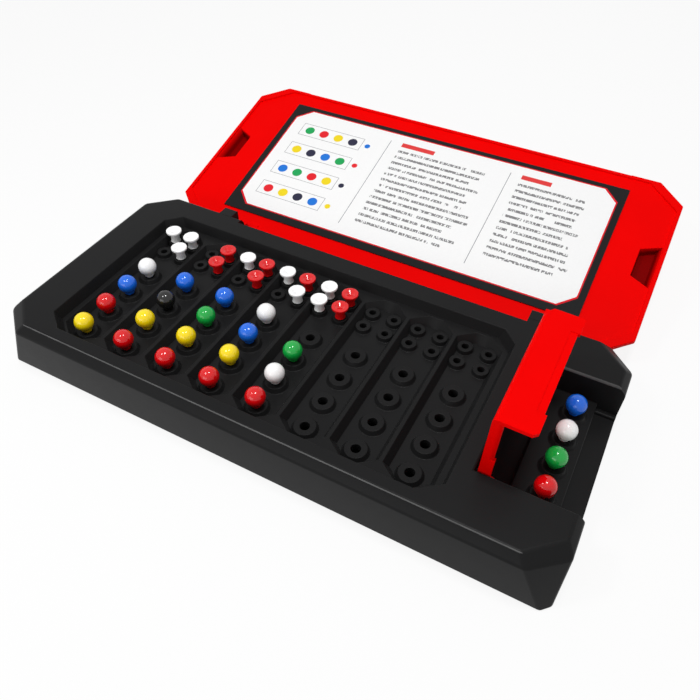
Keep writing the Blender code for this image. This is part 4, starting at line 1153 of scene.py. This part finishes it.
def code_peg():
    """A ball on a short neck, with a stem below; it stands on a boss's top at height 0."""
    cut = BALL_CENTRE - math.sqrt(BALL_RADIUS ** 2 - NECK ** 2)
    bpy.ops.object.select_all(action="DESELECT")
    bpy.ops.mesh.primitive_uv_sphere_add(
        segments=40, ring_count=24, radius=BALL_RADIUS, location=(0, 0, BALL_CENTRE)
    )
    ball = bpy.context.object
    settle(ball)
    open_up(ball)
    bpy.ops.mesh.select_all(action="SELECT")
    bpy.ops.mesh.bisect(plane_co=(0, 0, cut), plane_no=(0, 0, 1), clear_inner=True)
    choose("EDGE", lambda c: c.z < cut + 1e-6)
    radius = NECK
    for wider, step in STEM:
        bpy.ops.mesh.extrude_edges_move(TRANSFORM_OT_translate={"value": (0, 0, step)})
        share = wider / radius
        bpy.ops.transform.resize(value=(share, share, 1), center_override=(0, 0, 0))
        radius = wider
    bpy.ops.mesh.edge_face_add()
    finish_faces()
    polish(ball, 40)
    return ball


def key_peg():
    """A flat head with a dimple, on a thick collar with a stem below."""
    profile = [
        (0.0009, -0.0060), (0.0014, -0.0055), (0.0014, 0.0003), (0.0026, 0.0003), (0.0027, 0.0005),
        (0.0026, 0.0009), (0.0024, 0.0012), (0.0024, 0.0054), (0.0027, 0.0058), (0.0039, 0.0060),
        (0.00418, 0.00612), (0.0043, 0.0064), (0.0043, 0.0070), (0.00418, 0.00728), (0.0039, 0.0074),
        (0.00265, 0.0074), (0.0024, 0.00732), (0.0002, 0.0062), (0.0, 0.0062),
    ]
    peg = turned("peg", profile, 40)
    polish(peg, 40)
    return peg


def make_pegs():
    """Every peg: a copy of its model in its hole, on its own body."""
    finishes = {
        colour: moulded(f"peg_{colour}_fine", tint, 0.12, 0.46, PEG_GRAIN, PEG_GRAIN_DEPTH)
        for colour, tint in PEG_TINTS.items()
    }

    def set_peg(model, place, name, colour):
        hand_over(copied(model, place), f"{name}_peg", finishes[colour], f"peg_{colour}", name, name)

    ball = code_peg()
    button = key_peg()
    top = BAY_FLOOR + BOSS
    for bay, guess in enumerate(GUESSES, start=1):
        x = FIRST_BAY + (bay - 1) * PITCH
        for row, colour in enumerate(guess, start=1):
            set_peg(ball, (x, CODE_YS[row - 1], top), f"code_peg_bay{bay}_row{row}", colour)
    for number, colour in enumerate(SECRET, start=1):
        set_peg(ball, (SECRET_X, SECRET_YS[number - 1], PLATFORM_TOP + BOSS), f"secret_peg_{number}", colour)
    for bay, answer in enumerate(ANSWERS, start=1):
        x = FIRST_BAY + (bay - 1) * PITCH
        for spot, colour in answer.items():
            depth, side = spot.split("_")
            place = (x + (KEY_X if side == "right" else -KEY_X), KEY_YS[depth == "back"], top)
            set_peg(button, place, f"key_peg_bay{bay}_{spot}", colour)
    bpy.data.objects.remove(ball)
    bpy.data.objects.remove(button)


# Small metal parts


def make_screw():
    """A pan-head screw, head down, with a cross cut in its head."""
    profile = [
        (0.0022, 0.0003), (0.0027, 0.0005), (0.0028, 0.0008), (0.0028, 0.0013),
        (0.0015, 0.0013), (0.0015, 0.0105), (0.0006, 0.0120),
    ]
    screw = turned("screw", profile, 32)
    for reach_x, reach_y in ((0.0015, 0.00025), (0.00025, 0.0015)):
        carve(screw, block(-reach_x, reach_x, -reach_y, reach_y, 0, 0.0009))
    polish(screw)
    return screw


def make_metal():
    """The cover's four screws and the two hinge pins."""
    finish = steel()
    screw = make_screw()
    places = [(x, y, 0) for x in (-SCREW_X, SCREW_X) for y in (-SCREW_Y, SCREW_Y)]
    for number, place in enumerate(places, start=1):
        piece = copied(screw, place)
        hand_over(piece, f"screw_{number}", finish, "pin_steel", "case", f"cover_screw_{number}")
    bpy.data.objects.remove(screw)
    length = LUG_WIDTH + GAP + EAR_WIDTH
    profile = [(0.0010, 0), (0.00125, 0.00025), (0.00125, length - 0.00025), (0.0010, length)]
    for side, lug in zip(("left", "right"), LUGS):
        pin = turned("pin", profile, 32, (lug, *HINGE), "X")
        polish(pin)
        hand_over(pin, f"steel_pin_{side}", finish, "pin_steel", "case", f"hinge_pin_{side}")


# Light and floor


def add_lamp(name, place, aim, size, power):
    """A soft box that points at one spot."""
    data = bpy.data.lights.new(name, "AREA")
    data.shape = "RECTANGLE"
    data.size, data.size_y = size
    data.energy = power
    lamp = bpy.data.objects.new(name, data)
    bpy.context.scene.collection.objects.link(lamp)
    lamp.location = place
    lamp.rotation_euler = (Vector(aim) - Vector(place)).to_track_quat("-Z", "Y").to_euler()


def make_light():
    """A pale even room, one small lamp overhead, one over the player's shoulder and a soft one in front."""
    bpy.context.scene.view_settings.view_transform = "Standard"
    world = bpy.data.worlds.new("room")
    bpy.context.scene.world = world
    world.use_nodes = True
    tree = world.node_tree
    background = tree.nodes["Background"]
    background.inputs["Color"].default_value = (1.0, 1.0, 1.0, 1.0)
    path = tree.nodes.new("ShaderNodeLightPath")
    seen = path.outputs["Is Camera Ray"]
    for kind in ("Is Glossy Ray", "Is Transmission Ray"):
        either = tree.nodes.new("ShaderNodeMath")
        either.operation = "MAXIMUM"
        tree.links.new(seen, either.inputs[0])
        tree.links.new(path.outputs[kind], either.inputs[1])
        seen = either.outputs[0]
    level = tree.nodes.new("ShaderNodeMath")
    level.operation = "MULTIPLY_ADD"
    level.inputs[1].default_value = 1.0 - ROOM_LIGHT
    level.inputs[2].default_value = ROOM_LIGHT
    tree.links.new(seen, level.inputs[0])
    tree.links.new(level.outputs[0], background.inputs["Strength"])
    add_lamp("overhead", (0.10, 0.03, 0.98), (0, 0.02, 0), (0.17, 0.17), 4.7)
    add_lamp("shoulder", (-0.17, -0.17, 0.44), (0, 0.02, 0), (0.085, 0.085), 0.56)
    add_lamp("front", (-0.25, -1.20, 0.45), (0, 0.0, 0), (1.00, 0.50), 3.4)


def make_floor():
    """A pale floor that keeps the shadow."""
    bpy.ops.object.select_all(action="DESELECT")
    bpy.ops.mesh.primitive_plane_add(size=FLOOR_SIZE, location=(0, 0, FLOOR_HEIGHT))
    floor = bpy.context.object
    floor.name = "floor"
    recipe = Recipe("floor", Base_Color=(0.85, 0.85, 0.85, 1.0), Roughness=0.9)
    path = recipe.add("LightPath", output="Is Camera Ray")
    for kind in ("Is Glossy Ray", "Is Transmission Ray"):
        path = recipe.maths("MAXIMUM", path, recipe.add("LightPath", output=kind))
    glow = recipe.add("Emission", None, {"Color": (1.0, 1.0, 1.0, 1.0), "Strength": 1.0})
    plain = Worth(recipe, recipe.shader.outputs[0])
    mixed = recipe.add("MixShader", None, {0: path * FLOOR_GLOW, 1: plain, 2: glow})
    recipe.fill(recipe.tree.nodes["Material Output"], {"Surface": mixed})
    floor.data.materials.append(recipe.material)


def main():
    make_camera()
    make_light()
    make_floor()
    black = case_finish()
    red = moulded("lid_red_fine", LID_RED, 0.42, 0.02)
    hand_over(make_case(), "case_shell", black, "case_black", "case", "case_top")
    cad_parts["bottom_cover"].material_slots[0].material = black
    hand_over(make_lid(), "lid_inner", lid_finish(), "lid_red", "lid", "lid_panel")
    hand_over(make_lid_back(), "lid_outer", red, "lid_red", "lid", "lid_cover")
    hand_over(make_card(), "printed_card", card_finish(), "card_print", "lid", "rules_card")
    hand_over(make_shield(), "shield", red, "lid_red", "shield", "code_shield")
    make_pegs()
    make_metal()


main()
